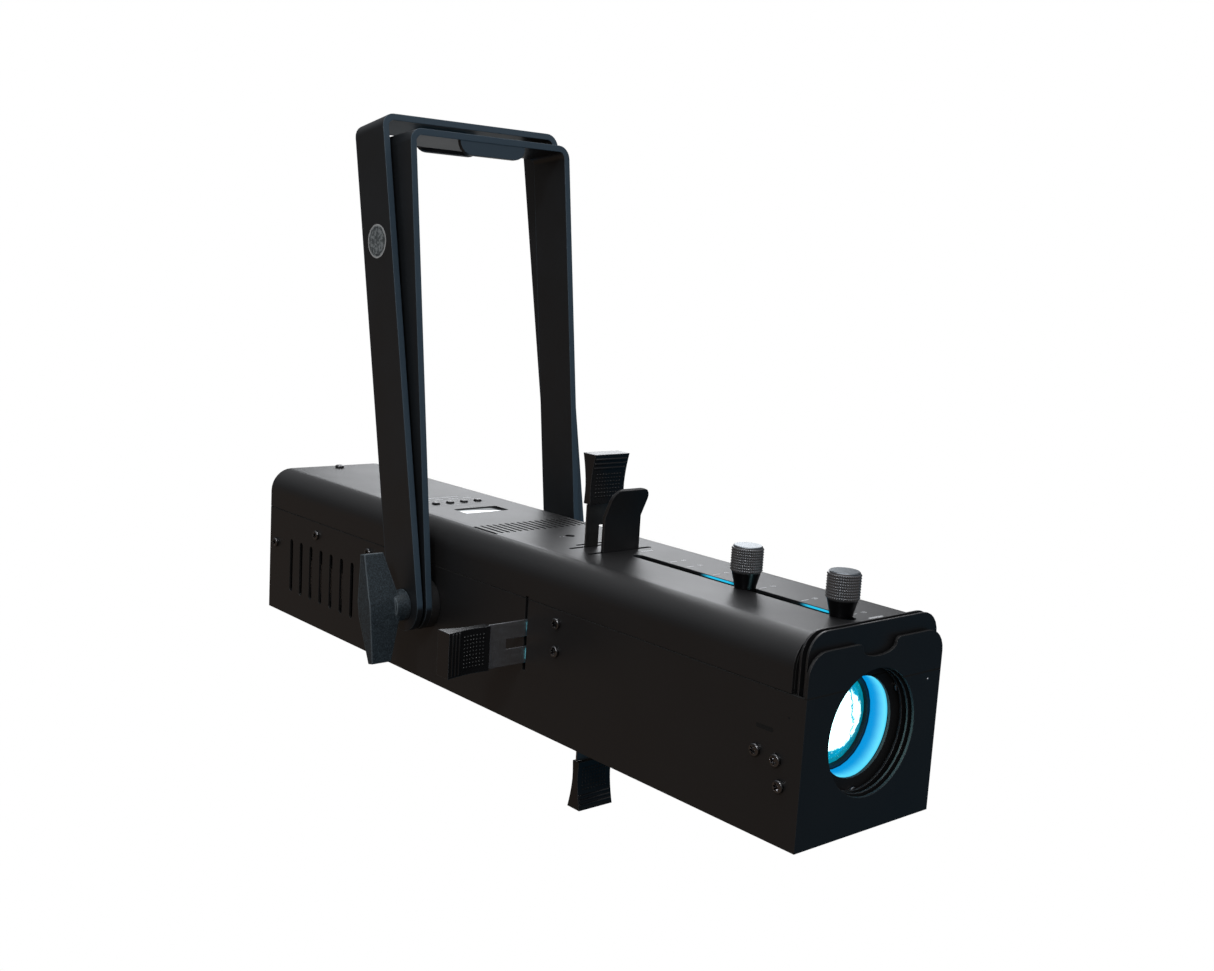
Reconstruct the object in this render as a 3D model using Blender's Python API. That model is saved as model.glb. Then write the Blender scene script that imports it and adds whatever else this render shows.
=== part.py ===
"""LED profile spotlight (ellipsoidal) hung in a double yoke.

Lengths are in metres.  The housing is laid out in its own frame: X runs along the beam with the
front plate's face at 0 and the rear at -BODY_LENGTH, Y is 0 in the middle and Z is 0 at the base.
The finished part's origin is the middle of the clamp hole, on top of the outer yoke.
"""
import math

import bmesh
import bpy
from mathutils import Matrix, Vector

for leftover in list(bpy.data.objects):
    bpy.data.objects.remove(leftover, do_unlink=True)

# ---------------------------------------------------------------- driving dimensions
GAP = 0.0003                # between pieces that touch
RUN = 0.0005                # around a piece that slides
SLOT_RUN = 0.0008           # either side of a shutter blade in its slot
PIN_DEPTH = 0.007           # from a socket's face back to its pins

BODY_LENGTH = 0.514
BODY_WIDTH = 0.100
BODY_HEIGHT = 0.101
SHEET = 0.0015
SEAM_DROP = 0.027           # the cover's top down to the lower housing's top edge
COVER_RADIUS = 0.0155
COVER_LAP = 0.014           # how far the cover's lap reaches down inside the lower housing
AXIS_HEIGHT = 0.0495        # beam axis and tilt axis above the base
ENGINE_LENGTH = 0.3175      # from the rear end to the gate's front plate

FRONT_PLATE_DROP = 0.006    # the cover's top down to the front plate's top edge
FRONT_PLATE_RADIUS = 0.012
APERTURE_RADIUS = 0.032
THUMB_DEPTH = 0.0073
THUMB_HALF_WIDTH = 0.0125
THUMB_SHOULDER = 0.003
GEL_SLOT = 0.008            # from the front plate back to the bulkhead
GEL_FRAME_RISE = 0.0085     # how far the frame stands out above the front plate
GEL_FRAME_DEPTH = 0.0048

PIVOT_BEHIND_GATE = 0.1125
YOKE_WIDTH = 0.0325
YOKE_BAR = 0.004
YOKE_BEND = 0.008
YOKE_LIP_HALF = 0.0245
YOKE_LIP_DROP = 0.0125
SPACER_DEPTH = 0.0065       # between the housing and the inner yoke's legs
WASHER_DEPTH = 0.0025       # between the two yokes' legs
OUTER_RISE = 0.2967         # tilt axis to the top of the outer crossbar
OUTER_LEAN = math.radians(11.3)
CROSSBAR_SPACE = 0.0069     # between the two crossbars
INNER_LEAN = math.radians(7.4)
CLAMP_HOLE_RADIUS = 0.0065
STUD_RADIUS = 0.004

KNOB_REACH = 0.033          # half the length of the tilt knob's wing
KNOB_HUB_RADIUS = 0.0098

LENS_RADIUS = 0.0252
LENS_EDGE = 0.004
LENS_BOW = 0.0075           # how far the dome stands ahead of the lens's edge
RING_LIP = 0.002            # how far the lens ring reaches in over the glass
TUBE_WALL = 0.003
FRONT_CARRIAGE_X = -0.0252
REAR_CARRIAGE_SHARE = 0.408 # of the way from the front carriage to the lens bay's plate
CARRIAGE_HALF = 0.013
ROD_RADIUS = 0.003
ROD_SPREAD = 0.038
ROD_DROP = 0.0195
FOCUS_SLOT_END = -0.0165
FOCUS_SLOT_WIDTH = 0.007
FOCUS_KNOB_RADIUS = 0.0086
FOCUS_KNOB_HEIGHT = 0.0226
FOCUS_STUD_RADIUS = 0.002

GATE_RADIUS = 0.020
BLADE = 0.001
BLADE_HALF = 0.0125
BLADE_WIDE_HALF = 0.022
BLADE_EDGE = 0.021          # beam axis to the blade's inner edge
BLADE_SHOULDER = 0.044
BLADE_REACH = 0.0263        # how far a side blade's shoulder stands out of the housing
GRIP_LENGTH = 0.029
GRIP_END_HALF = 0.0055
GRIP_WAIST_HALF = 0.0022
TONGUE_LENGTH = 0.014
TONGUE_HALF = 0.008
SHUTTERS_BEHIND_GATE = {"bottom": 0.0050, "top": 0.0085, "right": 0.0115, "left": 0.0150}
GATE_DEPTH = 0.018          # from the front plate's face to the rear plate's
SHUTTER_SLOT_HALF = 0.024
SIDE_SLOT_BASE = 0.0325

GOBO_AHEAD_OF_GATE = 0.008
LENS_BAY_AHEAD_OF_GATE = 0.0135
GOBO_SHEET = 0.002
GOBO_RIM = 0.0025           # the holder's side beyond the gobo disc
GOBO_HANDLE_HALF = 0.0135
GOBO_BEND_RISE = 0.020      # the cover's top up to the handle's bend
GOBO_TIP_LENGTH = 0.0185
GOBO_TIP_ANGLE = math.radians(25)
GOBO_DISC_RADIUS = 0.020

LED_BEHIND_GATE = 0.0935
HEATSINK_HALF = 0.038
HEATSINK_DEPTH = 0.054
FIN_COUNT = 9
FAN_SPACE = 0.014           # from the power supply to the fan
FAN_SIZE = 0.092
FAN_DEPTH = 0.025
FAN_BLADES = 7
SUPPLY_SPACE = 0.034        # from the rear end to the power supply
SUPPLY_SIZE = (0.066, 0.082, 0.040)

VENT_COUNT = 7
VENT_FROM_REAR = 0.1155     # rear end to the foremost side vent
VENT_PITCH = 0.0139
VENT_WIDTH = 0.0042
VENT_BASE = 0.0176
VENT_TOP = 0.0556
TOP_VENT_COUNT = 17
TOP_VENT_PITCH = 0.0046
TOP_VENT_WIDTH = 0.0019
TOP_VENT_AHEAD_OF_LED = (0.0095, 0.0332)

BUTTONS_BEHIND_GATE = 0.1555
DISPLAY_AHEAD_OF_BUTTONS = 0.0275
BUTTON_PITCH = 0.011
BUTTON_RADIUS = 0.0026
BUTTON_TRAVEL = 0.0009
DISPLAY_SIZE = (0.015, 0.033)
BOARD_DROP = 0.0089         # the cover's top down to the control board

SCREW_HEAD_RADIUS = 0.0032
SCREW_SHANK_RADIUS = 0.0014

INNER_WALL = BODY_WIDTH / 2 - SHEET
LAP_FACE = INNER_WALL - GAP - SHEET     # inside face of the cover's lap
PLATE_HALF = LAP_FACE - GAP             # half width of the cross plates inside
CEILING = BODY_HEIGHT - SHEET
FLOOR = SHEET
SEAM_HEIGHT = BODY_HEIGHT - SEAM_DROP   # top edge of the lower housing's sides
FRONT_PLATE_TOP = BODY_HEIGHT - FRONT_PLATE_DROP
GEL_FRAME_TOP = FRONT_PLATE_TOP + GEL_FRAME_RISE
BOARD_TOP = BODY_HEIGHT - BOARD_DROP
BULKHEAD_X = -SHEET - GEL_SLOT          # front face of the bulkhead
BORE_RADIUS = LENS_RADIUS + GAP
TUBE_RADIUS = BORE_RADIUS + TUBE_WALL

GATE_X = ENGINE_LENGTH - BODY_LENGTH    # front face of the gate's front plate
GATE_REAR_X = GATE_X - GATE_DEPTH       # front face of the gate's rear plate
SHUTTER_PLANES = {side: GATE_X - depth for side, depth in SHUTTERS_BEHIND_GATE.items()}
GOBO_X = GATE_X + GOBO_AHEAD_OF_GATE
GOBO_HALF = GOBO_DISC_RADIUS + GOBO_RIM
LENS_BAY_X = GATE_X + LENS_BAY_AHEAD_OF_GATE    # front face of the plate behind the lens bay
REAR_CARRIAGE_X = FRONT_CARRIAGE_X + REAR_CARRIAGE_SHARE * (LENS_BAY_X - FRONT_CARRIAGE_X)
LED_X = GATE_X - LED_BEHIND_GATE
PIVOT_X = GATE_X - PIVOT_BEHIND_GATE
BUTTON_X = GATE_X - BUTTONS_BEHIND_GATE
DISPLAY_X = BUTTON_X + DISPLAY_AHEAD_OF_BUTTONS
SUPPLY_X = SUPPLY_SPACE - BODY_LENGTH
FAN_X = SUPPLY_X + SUPPLY_SIZE[0] + FAN_SPACE

BLADE_END = BODY_WIDTH / 2 + BLADE_REACH
INNER_HALF = BODY_WIDTH / 2 + SPACER_DEPTH + YOKE_BAR
OUTER_HALF = INNER_HALF + WASHER_DEPTH + YOKE_BAR
INNER_RISE = OUTER_RISE - YOKE_BAR - CROSSBAR_SPACE


# ---------------------------------------------------------------- outlines
def arc(centre, radius, start, end, steps):
    """Points on an arc; the angles are in degrees."""
    points = []
    for step in range(steps + 1):
        turn = math.radians(start + (end - start) * step / steps)
        points.append((centre[0] + radius * math.cos(turn), centre[1] + radius * math.sin(turn)))
    return points


def circle(centre, radius, steps=24):
    return arc(centre, radius, 0, 360, steps)[:-1]


def rectangle(low, high):
    return [(low[0], low[1]), (high[0], low[1]), (high[0], high[1]), (low[0], high[1])]


def rounded(low, high, radius, steps=4):
    """A rectangle with round corners."""
    left, base = low[0] + radius, low[1] + radius
    right, top = high[0] - radius, high[1] - radius
    return (arc((left, base), radius, 180, 270, steps) + arc((right, base), radius, 270, 360, steps)
            + arc((right, top), radius, 0, 90, steps) + arc((left, top), radius, 90, 180, steps))


def slot_outline(low, high, steps=5):
    """A slot with round ends, along whichever side of the rectangle is longer."""
    width, height = high[0] - low[0], high[1] - low[1]
    radius = min(width, height) / 2
    if height > width:
        middle = (low[0] + high[0]) / 2
        return (arc((middle, low[1] + radius), radius, 180, 360, steps)
                + arc((middle, high[1] - radius), radius, 0, 180, steps))
    middle = (low[1] + high[1]) / 2
    return (arc((high[0] - radius, middle), radius, -90, 90, steps)
            + arc((low[0] + radius, middle), radius, 90, 270, steps))


# ---------------------------------------------------------------- shapes
AXES = {"X": Vector((1, 0, 0)), "Y": Vector((0, 1, 0)), "Z": Vector((0, 0, 1))}


def prism(outline, low, high, axis):
    """Extrude an outline along an axis; its points give the other two coordinates, in X, Y, Z order."""
    shape = bmesh.new()
    corners = []
    for first, second in outline:
        point = {"X": (low, first, second), "Y": (first, low, second), "Z": (first, second, low)}[axis]
        corners.append(shape.verts.new(point))
    base = shape.faces.new(corners)
    grown = bmesh.ops.extrude_face_region(shape, geom=[base])["geom"]
    ends = [item for item in grown if isinstance(item, bmesh.types.BMVert)]
    bmesh.ops.translate(shape, vec=AXES[axis] * (high - low), verts=ends)
    bmesh.ops.recalc_face_normals(shape, faces=shape.faces)
    return shape


def box(low, high):
    return prism(rectangle(low[:2], high[:2]), low[2], high[2], "Z")


def rod(centre, radius, low, high, axis, steps=24):
    """A round bar along an axis; centre gives the other two coordinates."""
    return prism(circle(centre, radius, steps), low, high, axis)


def on_beam(radius, low, high, steps=28):
    """A rod on the beam axis, between two places along it."""
    return rod((0, AXIS_HEIGHT), radius, low, high, "X", steps)


def turned(profile, centre, axis, steps=20):
    """Turn a profile of (radius, place along the axis) about an axis through centre.

    A profile that starts and ends on the axis makes a solid; any other is closed into a ring.
    """
    shape = bmesh.new()
    corners = [shape.verts.new((radius, 0, place)) for radius, place in profile]
    for start, end in zip(corners, corners[1:]):
        shape.edges.new((start, end))
    if profile[0][0] > 0 or profile[-1][0] > 0:
        shape.edges.new((corners[-1], corners[0]))
    outline = list(shape.verts) + list(shape.edges)
    bmesh.ops.spin(shape, geom=outline, cent=(0, 0, 0), axis=(0, 0, 1), angle=math.tau, steps=steps,
                   use_merge=True)
    bmesh.ops.remove_doubles(shape, verts=shape.verts, dist=1e-7)
    bmesh.ops.recalc_face_normals(shape, faces=shape.faces)
    turn = {"X": Matrix.Rotation(math.pi / 2, 4, "Y"), "Y": Matrix.Rotation(-math.pi / 2, 4, "X"),
            "Z": Matrix.Identity(4)}[axis]
    offset = {"X": (0, centre[0], centre[1]), "Y": (centre[0], 0, centre[1]),
              "Z": (centre[0], centre[1], 0)}[axis]
    shape.transform(Matrix.Translation(offset) @ turn)
    return shape


def group(shapes):
    """Put separate shapes into one bmesh."""
    whole = bmesh.new()
    for shape in shapes:
        piece = bpy.data.meshes.new("piece")
        shape.to_mesh(piece)
        shape.free()
        whole.from_mesh(piece)
        bpy.data.meshes.remove(piece)
    return whole


def moved(shape, matrix):
    shape.transform(matrix)
    return shape


# ---------------------------------------------------------------- finishes
def finish(name, color, roughness, metallic=0.0, alpha=1.0):
    material = bpy.data.materials.new(name)
    material.use_nodes = True
    shader = material.node_tree.nodes["Principled BSDF"]
    shader.inputs["Base Color"].default_value = (*color, 1.0)
    shader.inputs["Roughness"].default_value = roughness
    shader.inputs["Metallic"].default_value = metallic
    shader.inputs["Alpha"].default_value = alpha
    material.diffuse_color = (*color, alpha)
    return material


POWDER_COAT = finish("powder_coat", (0.016, 0.016, 0.017), 0.48)
YOKE_COAT = finish("yoke_coat", (0.014, 0.017, 0.022), 0.42)
STEEL = finish("bright_steel", (0.42, 0.43, 0.45), 0.32, 1.0)
GRIP_PLASTIC = finish("grip_plastic", (0.012, 0.012, 0.014), 0.55)
KNOB_PLASTIC = finish("knob_plastic", (0.030, 0.038, 0.046), 0.62)
KNURLED_METAL = finish("knurled_metal", (0.050, 0.051, 0.054), 0.38, 1.0)
ALUMINIUM = finish("aluminium", (0.55, 0.56, 0.58), 0.40, 1.0)
BLACK_ALUMINIUM = finish("black_aluminium", (0.030, 0.031, 0.034), 0.40, 1.0)
OPTICAL_GLASS = finish("optical_glass", (0.62, 0.86, 0.92), 0.04, 0.0, 0.35)
CIRCUIT_BOARD = finish("circuit_board", (0.02, 0.16, 0.07), 0.5)
DISPLAY = finish("display_panel", (0.82, 0.88, 0.90), 0.2)
SOCKET_PLASTIC = finish("socket_plastic", (0.02, 0.02, 0.02), 0.35)
FIBRE = finish("fibre_washer", (0.020, 0.020, 0.021), 0.7)
BLACK_SCREW = finish("black_screw", (0.020, 0.020, 0.022), 0.22, 1.0)

# ---------------------------------------------------------------- homes: one empty for each moving body
PIVOT = Vector((PIVOT_X, 0, AXIS_HEIGHT))
HOME_AT = {}


def home(name, at, parent=None, lean=0.0):
    """An empty on a joint's axis; at is its place in the housing's frame."""
    empty = bpy.data.objects.new(name + "_home", None)
    bpy.context.scene.collection.objects.link(empty)
    HOME_AT[empty.name] = Vector(at)
    if parent:
        empty.parent = parent
        empty.location = HOME_AT[empty.name] - HOME_AT[parent.name]
    else:
        empty.location = Vector((OUTER_RISE * math.sin(OUTER_LEAN), 0, -OUTER_RISE * math.cos(OUTER_LEAN)))
    empty.rotation_euler = (0, -lean, 0)
    return empty


OUTER = home("outer_yoke", (0, 0, 0), lean=OUTER_LEAN)
INNER = home("inner_yoke", (0, 0, 0), lean=INNER_LEAN)
HOUSING = home("housing", PIVOT)


def solid(name, shape, material, owner=HOUSING, smooth=False):
    """Make an object from a shape laid out in the housing's frame, and hang it on its body's home."""
    shape.transform(Matrix.Translation(-HOME_AT[owner.name]))
    mesh = bpy.data.meshes.new(name)
    shape.to_mesh(mesh)
    shape.free()
    if smooth:
        mesh.shade_smooth()
        mesh.set_sharp_from_angle(angle=math.radians(35))
    mesh.materials.append(material)
    part = bpy.data.objects.new(name, mesh)
    part.parent = owner
    bpy.context.scene.collection.objects.link(part)
    return part


def combine(part, shape, operation):
    """Add an exact Boolean to a part, with a hidden tool object made from the shape."""
    tool = solid(f"{part.name}_{operation.lower()}_{len(part.modifiers)}", shape, part.active_material,
                 part.parent)
    tool.hide_render = True
    tool.display_type = "WIRE"
    step = part.modifiers.new(operation.title(), "BOOLEAN")
    step.operation = operation
    step.solver = "EXACT"
    step.object = tool
    return tool


def cut(part, *shapes):
    return combine(part, group(shapes), "DIFFERENCE")


def join(part, *shapes):
    return combine(part, group(shapes), "UNION")


def keep(part, shape):
    return combine(part, shape, "INTERSECT")


# ---------------------------------------------------------------- housing shells
SIDE_SCREW = (-0.0154, 0.0407)
TOP_SCREW_X = 0.0095 - BODY_LENGTH
INSERT_RADIUS = 0.006


def front_corner(side):
    """What is cut from a top corner of the front plate to round it."""
    edge = side * (BODY_WIDTH / 2 + SHEET)
    middle = (side * (BODY_WIDTH / 2 - FRONT_PLATE_RADIUS), FRONT_PLATE_TOP - FRONT_PLATE_RADIUS)
    round_edge = [(side * abs(y), z) if side > 0 else (y, z) for y, z in
                  arc(middle, FRONT_PLATE_RADIUS, 0 if side > 0 else 180, 90, 6)]
    return prism(round_edge + [(middle[0], FRONT_PLATE_TOP + SHEET), (edge, FRONT_PLATE_TOP + SHEET),
                               (edge, middle[1])], -2 * SHEET, SHEET, "X")


def thumb_notch():
    """The half-round dip with soft shoulders in the front plate's top edge."""
    half, shoulder = THUMB_HALF_WIDTH, THUMB_SHOULDER
    points = [(-half - shoulder, FRONT_PLATE_TOP + SHEET)]
    points += arc((-half - shoulder, FRONT_PLATE_TOP - shoulder), shoulder, 90, 0, 4)
    for step in range(1, 6):
        turn = math.pi / 2 * step / 6
        dip = shoulder + (THUMB_DEPTH - shoulder) * math.sin(turn)
        points.append((-half * math.cos(turn), FRONT_PLATE_TOP - dip))
    return points + [(0, FRONT_PLATE_TOP - THUMB_DEPTH)] + [(-y, z) for y, z in reversed(points)]


def side_vents():
    """Round-ended slots through both side walls near the rear."""
    reach = BODY_WIDTH / 2 + SHEET
    slots = []
    for number in range(VENT_COUNT):
        x = VENT_FROM_REAR - BODY_LENGTH - VENT_PITCH * number
        outline = slot_outline((x - VENT_WIDTH / 2, VENT_BASE), (x + VENT_WIDTH / 2, VENT_TOP))
        slots.append(prism(outline, -reach, reach, "Y"))
    return slots


def side_shutter_slot(side):
    """The open-topped slot for one side shutter, cut a little past the cover's lap."""
    plane = SHUTTER_PLANES[side]
    half = BLADE / 2 + SLOT_RUN
    wall = BODY_WIDTH / 2 + SHEET
    low, high = (-wall, -LAP_FACE + SHEET) if side == "right" else (LAP_FACE - SHEET, wall)
    return box((plane - half, low, SIDE_SLOT_BASE), (plane + half, high, SEAM_HEIGHT + SHEET))


def cross_slot(plane, half_length, half_width, low, high):
    """A slot across the housing, cut straight down between two heights."""
    outline = slot_outline((plane - half_width, -half_length), (plane + half_width, half_length), 3)
    return prism(outline, low, high, "Z")


def end_plate_outline(slack):
    """The outline of a plate that closes the shells' ends; slack is the gap left all round."""
    half = INNER_WALL - slack
    top = CEILING - slack
    radius = COVER_RADIUS - SHEET - slack
    return ([(half, FLOOR + slack)] + arc((half - radius, top - radius), radius, 0, 90, 8)
            + arc((radius - half, top - radius), radius, 90, 180, 8) + [(-half, FLOOR + slack)])


lower_side = [(-BODY_LENGTH, 0), (0, 0), (0, FRONT_PLATE_TOP), (-SHEET, FRONT_PLATE_TOP),
              (-SHEET, SEAM_HEIGHT), (-BODY_LENGTH, SEAM_HEIGHT)]
lower_housing = solid("lower_housing", prism(lower_side, -BODY_WIDTH / 2, BODY_WIDTH / 2, "Y"), POWDER_COAT)
cut(lower_housing, box((-BODY_LENGTH - SHEET, -INNER_WALL, FLOOR), (-SHEET, INNER_WALL, BODY_HEIGHT)))
screw_hole = SCREW_SHANK_RADIUS + GAP
cut(lower_housing, *side_vents(), rod(SIDE_SCREW, screw_hole, -BODY_WIDTH, BODY_WIDTH, "Y", 12),
    rod((PIVOT_X, AXIS_HEIGHT), INSERT_RADIUS + GAP, -BODY_WIDTH, BODY_WIDTH, "Y"),
    side_shutter_slot("right"), side_shutter_slot("left"),
    cross_slot(SHUTTER_PLANES["bottom"], SHUTTER_SLOT_HALF, BLADE / 2 + SLOT_RUN, -SHEET, 2 * SHEET),
    on_beam(APERTURE_RADIUS, -2 * SHEET, SHEET, 40),
    prism(thumb_notch(), -2 * SHEET, SHEET, "X"),
    front_corner(1), front_corner(-1))

outer_half = BODY_WIDTH / 2
cover_round = (outer_half - COVER_RADIUS, BODY_HEIGHT - COVER_RADIUS)
lap_outer = INNER_WALL - GAP
joggle = SEAM_HEIGHT + GAP
lap_base = SEAM_HEIGHT - COVER_LAP
half_profile = ([(lap_outer, joggle), (outer_half, joggle)] + arc(cover_round, COVER_RADIUS, 0, 90, 8))
inner_profile = ([(lap_outer, lap_base), (LAP_FACE, lap_base), (LAP_FACE, joggle + SHEET),
                  (INNER_WALL, joggle + 2 * SHEET)] + arc(cover_round, COVER_RADIUS - SHEET, 0, 90, 8))
cover_outline = (half_profile + [(-y, z) for y, z in reversed(half_profile)]
                 + [(-y, z) for y, z in inner_profile] + list(reversed(inner_profile)))
top_cover = solid("top_cover", prism(cover_outline, -BODY_LENGTH, BULKHEAD_X, "X"), POWDER_COAT)

button_places = [(number - 1.5) * BUTTON_PITCH for number in range(4)]
vent_rows = [(number - (TOP_VENT_COUNT - 1) / 2) * TOP_VENT_PITCH for number in range(TOP_VENT_COUNT)]
above, below = BODY_HEIGHT + SHEET, BODY_HEIGHT - 2 * SHEET
focus_slot = slot_outline((LENS_BAY_X + 0.007, -FOCUS_SLOT_WIDTH / 2), (FOCUS_SLOT_END, FOCUS_SLOT_WIDTH / 2))
top_holes = [prism(focus_slot, below, above, "Z")]
vent_back, vent_front = [LED_X + ahead for ahead in TOP_VENT_AHEAD_OF_LED]
for y in vent_rows:
    outline = slot_outline((vent_back, y - TOP_VENT_WIDTH / 2), (vent_front, y + TOP_VENT_WIDTH / 2), 3)
    top_holes.append(prism(outline, below, above, "Z"))
for y in button_places:
    top_holes.append(rod((BUTTON_X, y), BUTTON_RADIUS + GAP, below, above, "Z", 16))
window_half = (DISPLAY_SIZE[0] / 2, DISPLAY_SIZE[1] / 2)
top_holes += [
    prism(rounded((DISPLAY_X - window_half[0], -window_half[1]), (DISPLAY_X + window_half[0], window_half[1]),
                  0.001, 2), below, above, "Z"),
    cross_slot(SHUTTER_PLANES["top"], SHUTTER_SLOT_HALF, BLADE / 2 + SLOT_RUN, below, above),
    cross_slot(GOBO_X, GOBO_HALF + RUN + GOBO_SHEET / 2, GOBO_SHEET / 2 + RUN, below, above),
    cross_slot(GATE_X - 0.0140, 0.0145, 0.0012, below, above),
    rod((GATE_X - 0.0372, 0), 0.003, below, above, "Z", 16),
    rod((TOP_SCREW_X, 0), screw_hole, below, above, "Z", 12)]
cut(top_cover, *top_holes, side_shutter_slot("right"), side_shutter_slot("left"))
end_slack = GAP / 2
cut(top_cover, prism(end_plate_outline(end_slack), -BODY_LENGTH - SHEET, -BODY_LENGTH + SHEET + GAP, "X"),
    prism(end_plate_outline(end_slack), BULKHEAD_X - SHEET - GAP, BULKHEAD_X + SHEET, "X"))

# ---------------------------------------------------------------- front bulkhead and gel frame
front_bulkhead = solid("front_bulkhead", prism(end_plate_outline(GAP), BULKHEAD_X - SHEET, BULKHEAD_X, "X"),
                       POWDER_COAT)
cut(front_bulkhead, on_beam(BORE_RADIUS, BULKHEAD_X - 2 * SHEET, BULKHEAD_X + SHEET, 40))


def side_tab(side, back, front, low, high):
    """A tab that is bent back from an end plate, against the inside of a side wall."""
    faces = sorted((side * (INNER_WALL - GAP), side * (INNER_WALL - GAP - SHEET)))
    return box((back, faces[0], low), (front, faces[1], high))


for side in (-1, 1):
    join(front_bulkhead, side_tab(side, BULKHEAD_X - 0.014, BULKHEAD_X - SHEET / 2, 0.024, 0.056))
cut(front_bulkhead, rod(SIDE_SCREW, screw_hole, -BODY_WIDTH, BODY_WIDTH, "Y", 12))

GEL = home("gel_frame", (-SHEET - GEL_SLOT / 2, 0, AXIS_HEIGHT), HOUSING)
gel_middle = -SHEET - GEL_SLOT / 2
gel_half = INNER_WALL - RUN
gel_low, gel_high = gel_middle - GEL_FRAME_DEPTH / 2, gel_middle + GEL_FRAME_DEPTH / 2
gel_corner = (gel_half - FRONT_PLATE_RADIUS, GEL_FRAME_TOP - FRONT_PLATE_RADIUS)
gel_outline = ([(gel_half, FLOOR + GAP)] + arc(gel_corner, FRONT_PLATE_RADIUS, 0, 90, 6)
               + arc((-gel_corner[0], gel_corner[1]), FRONT_PLATE_RADIUS, 90, 180, 6)
               + [(-gel_half, FLOOR + GAP)])
gel_frame = solid("gel_frame", prism(gel_outline, gel_low, gel_high, "X"), POWDER_COAT, GEL)
gel_sheet = 0.001
cut(gel_frame, box((gel_low + gel_sheet, -BODY_WIDTH, FLOOR + GAP + 2 * gel_sheet),
                   (gel_high - gel_sheet, BODY_WIDTH, BODY_HEIGHT + 0.01)))
cut(gel_frame, on_beam(APERTURE_RADIUS - 0.001, gel_low - SHEET, gel_high + SHEET, 36))

# ---------------------------------------------------------------- lens carriages, on two rods
def carriage(label, x):
    """A lens tube on a cross plate that runs on both rods, with a boss for its knob's stud."""
    owner = home(label + "_carriage", (x, 0, AXIS_HEIGHT), HOUSING)
    plate = 0.004
    ear = ROD_RADIUS + 0.0035
    ear_height = AXIS_HEIGHT - ROD_DROP
    boss_top = CEILING - 0.001
    boss_half = 0.006
    right_half = [(ROD_SPREAD + ear, ear_height - ear), (ROD_SPREAD + ear, ear_height + ear),
                  (TUBE_RADIUS, AXIS_HEIGHT + 0.012), (boss_half, boss_top - 0.012), (boss_half, boss_top)]
    outline = right_half + [(-y, z) for y, z in reversed(right_half)]
    part = solid(label + "_carriage", prism(outline, x - plate, x + plate, "X"), BLACK_ALUMINIUM, owner)
    join(part, on_beam(TUBE_RADIUS, x - CARRIAGE_HALF, x + CARRIAGE_HALF, 28))
    shoulder = x - 0.005
    rods = [rod((y, ear_height), ROD_RADIUS + GAP, x - 2 * plate, x + 2 * plate, "X", 12)
            for y in (-ROD_SPREAD, ROD_SPREAD)]
    cut(part, on_beam(BORE_RADIUS, shoulder, x + 2 * CARRIAGE_HALF, 28), *rods,
        rod((x, 0), FOCUS_STUD_RADIUS + GAP, boss_top - 0.014, boss_top + 0.01, "Z", 12))
    cut(part, on_beam(BORE_RADIUS - 0.0025, x - 2 * CARRIAGE_HALF, x + CARRIAGE_HALF, 28))
    return owner


DOME_SPHERE = (LENS_RADIUS ** 2 + LENS_BOW ** 2) / (2 * LENS_BOW)


def lens(name, x_back, owner):
    """A plano-convex lens: flat at the back, domed towards the front."""
    spread = math.asin(LENS_RADIUS / DOME_SPHERE)
    tip = x_back + LENS_EDGE + LENS_BOW
    profile = [(0, x_back), (LENS_RADIUS, x_back)]
    for step in range(4):
        turn = spread * (1 - step / 4)
        profile.append((DOME_SPHERE * math.sin(turn), tip - DOME_SPHERE * (1 - math.cos(turn))))
    profile.append((0, tip))
    return solid(name, turned(profile, (0, AXIS_HEIGHT), "X", 28), OPTICAL_GLASS, owner, smooth=True)


def lens_ring(name, x_back, owner):
    """The thin ring that is screwed in ahead of the lens whose flat back is at x_back."""
    inner = LENS_RADIUS - RING_LIP
    dome = math.sqrt(DOME_SPHERE ** 2 - inner ** 2) - (DOME_SPHERE - LENS_BOW)
    x = x_back + LENS_EDGE + dome + GAP
    profile = [(inner, x), (LENS_RADIUS, x), (LENS_RADIUS, x + 0.002), (inner + 0.0006, x + 0.002)]
    return solid(name, turned(profile, (0, AXIS_HEIGHT), "X", 28), BLACK_ALUMINIUM, owner, smooth=True)


def focus_knob(label, x, carriage_home):
    """A knurled thumb nut on a tapered foot, with the stud that reaches its carriage."""
    owner = home(label + "_knob", (x, 0, BODY_HEIGHT), carriage_home)
    foot = BODY_HEIGHT + GAP
    top = BODY_HEIGHT + FOCUS_KNOB_HEIGHT
    knurl = foot + 0.0088
    stud_end = CEILING - 0.001 - 0.011
    radius = FOCUS_KNOB_RADIUS
    profile = [(0, stud_end), (FOCUS_STUD_RADIUS, stud_end), (FOCUS_STUD_RADIUS, foot), (0.0057, foot),
               (0.0060, foot + 0.0015), (radius - 0.0006, knurl - 0.0008), (radius, knurl),
               (radius, top - 0.0007), (radius - 0.0007, top), (0.0006, top), (0, top)]
    return solid(label + "_knob", turned(profile, (x, 0), "Z", 24), KNURLED_METAL, owner, smooth=True)


for label, x in (("front_lens", FRONT_CARRIAGE_X), ("rear_lens", REAR_CARRIAGE_X)):
    slider = carriage(label, x)
    back = x - 0.005 + GAP
    lens(label, back, slider)
    lens_ring(label + "_ring", back, slider)
    focus_knob(label, x, slider)

for label, side in (("left", 1), ("right", -1)):
    solid(label + "_guide_rod", rod((side * ROD_SPREAD, AXIS_HEIGHT - ROD_DROP), ROD_RADIUS, LENS_BAY_X + GAP,
                                    BULKHEAD_X - SHEET - GAP, "X", 12), STEEL, smooth=True)

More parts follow.
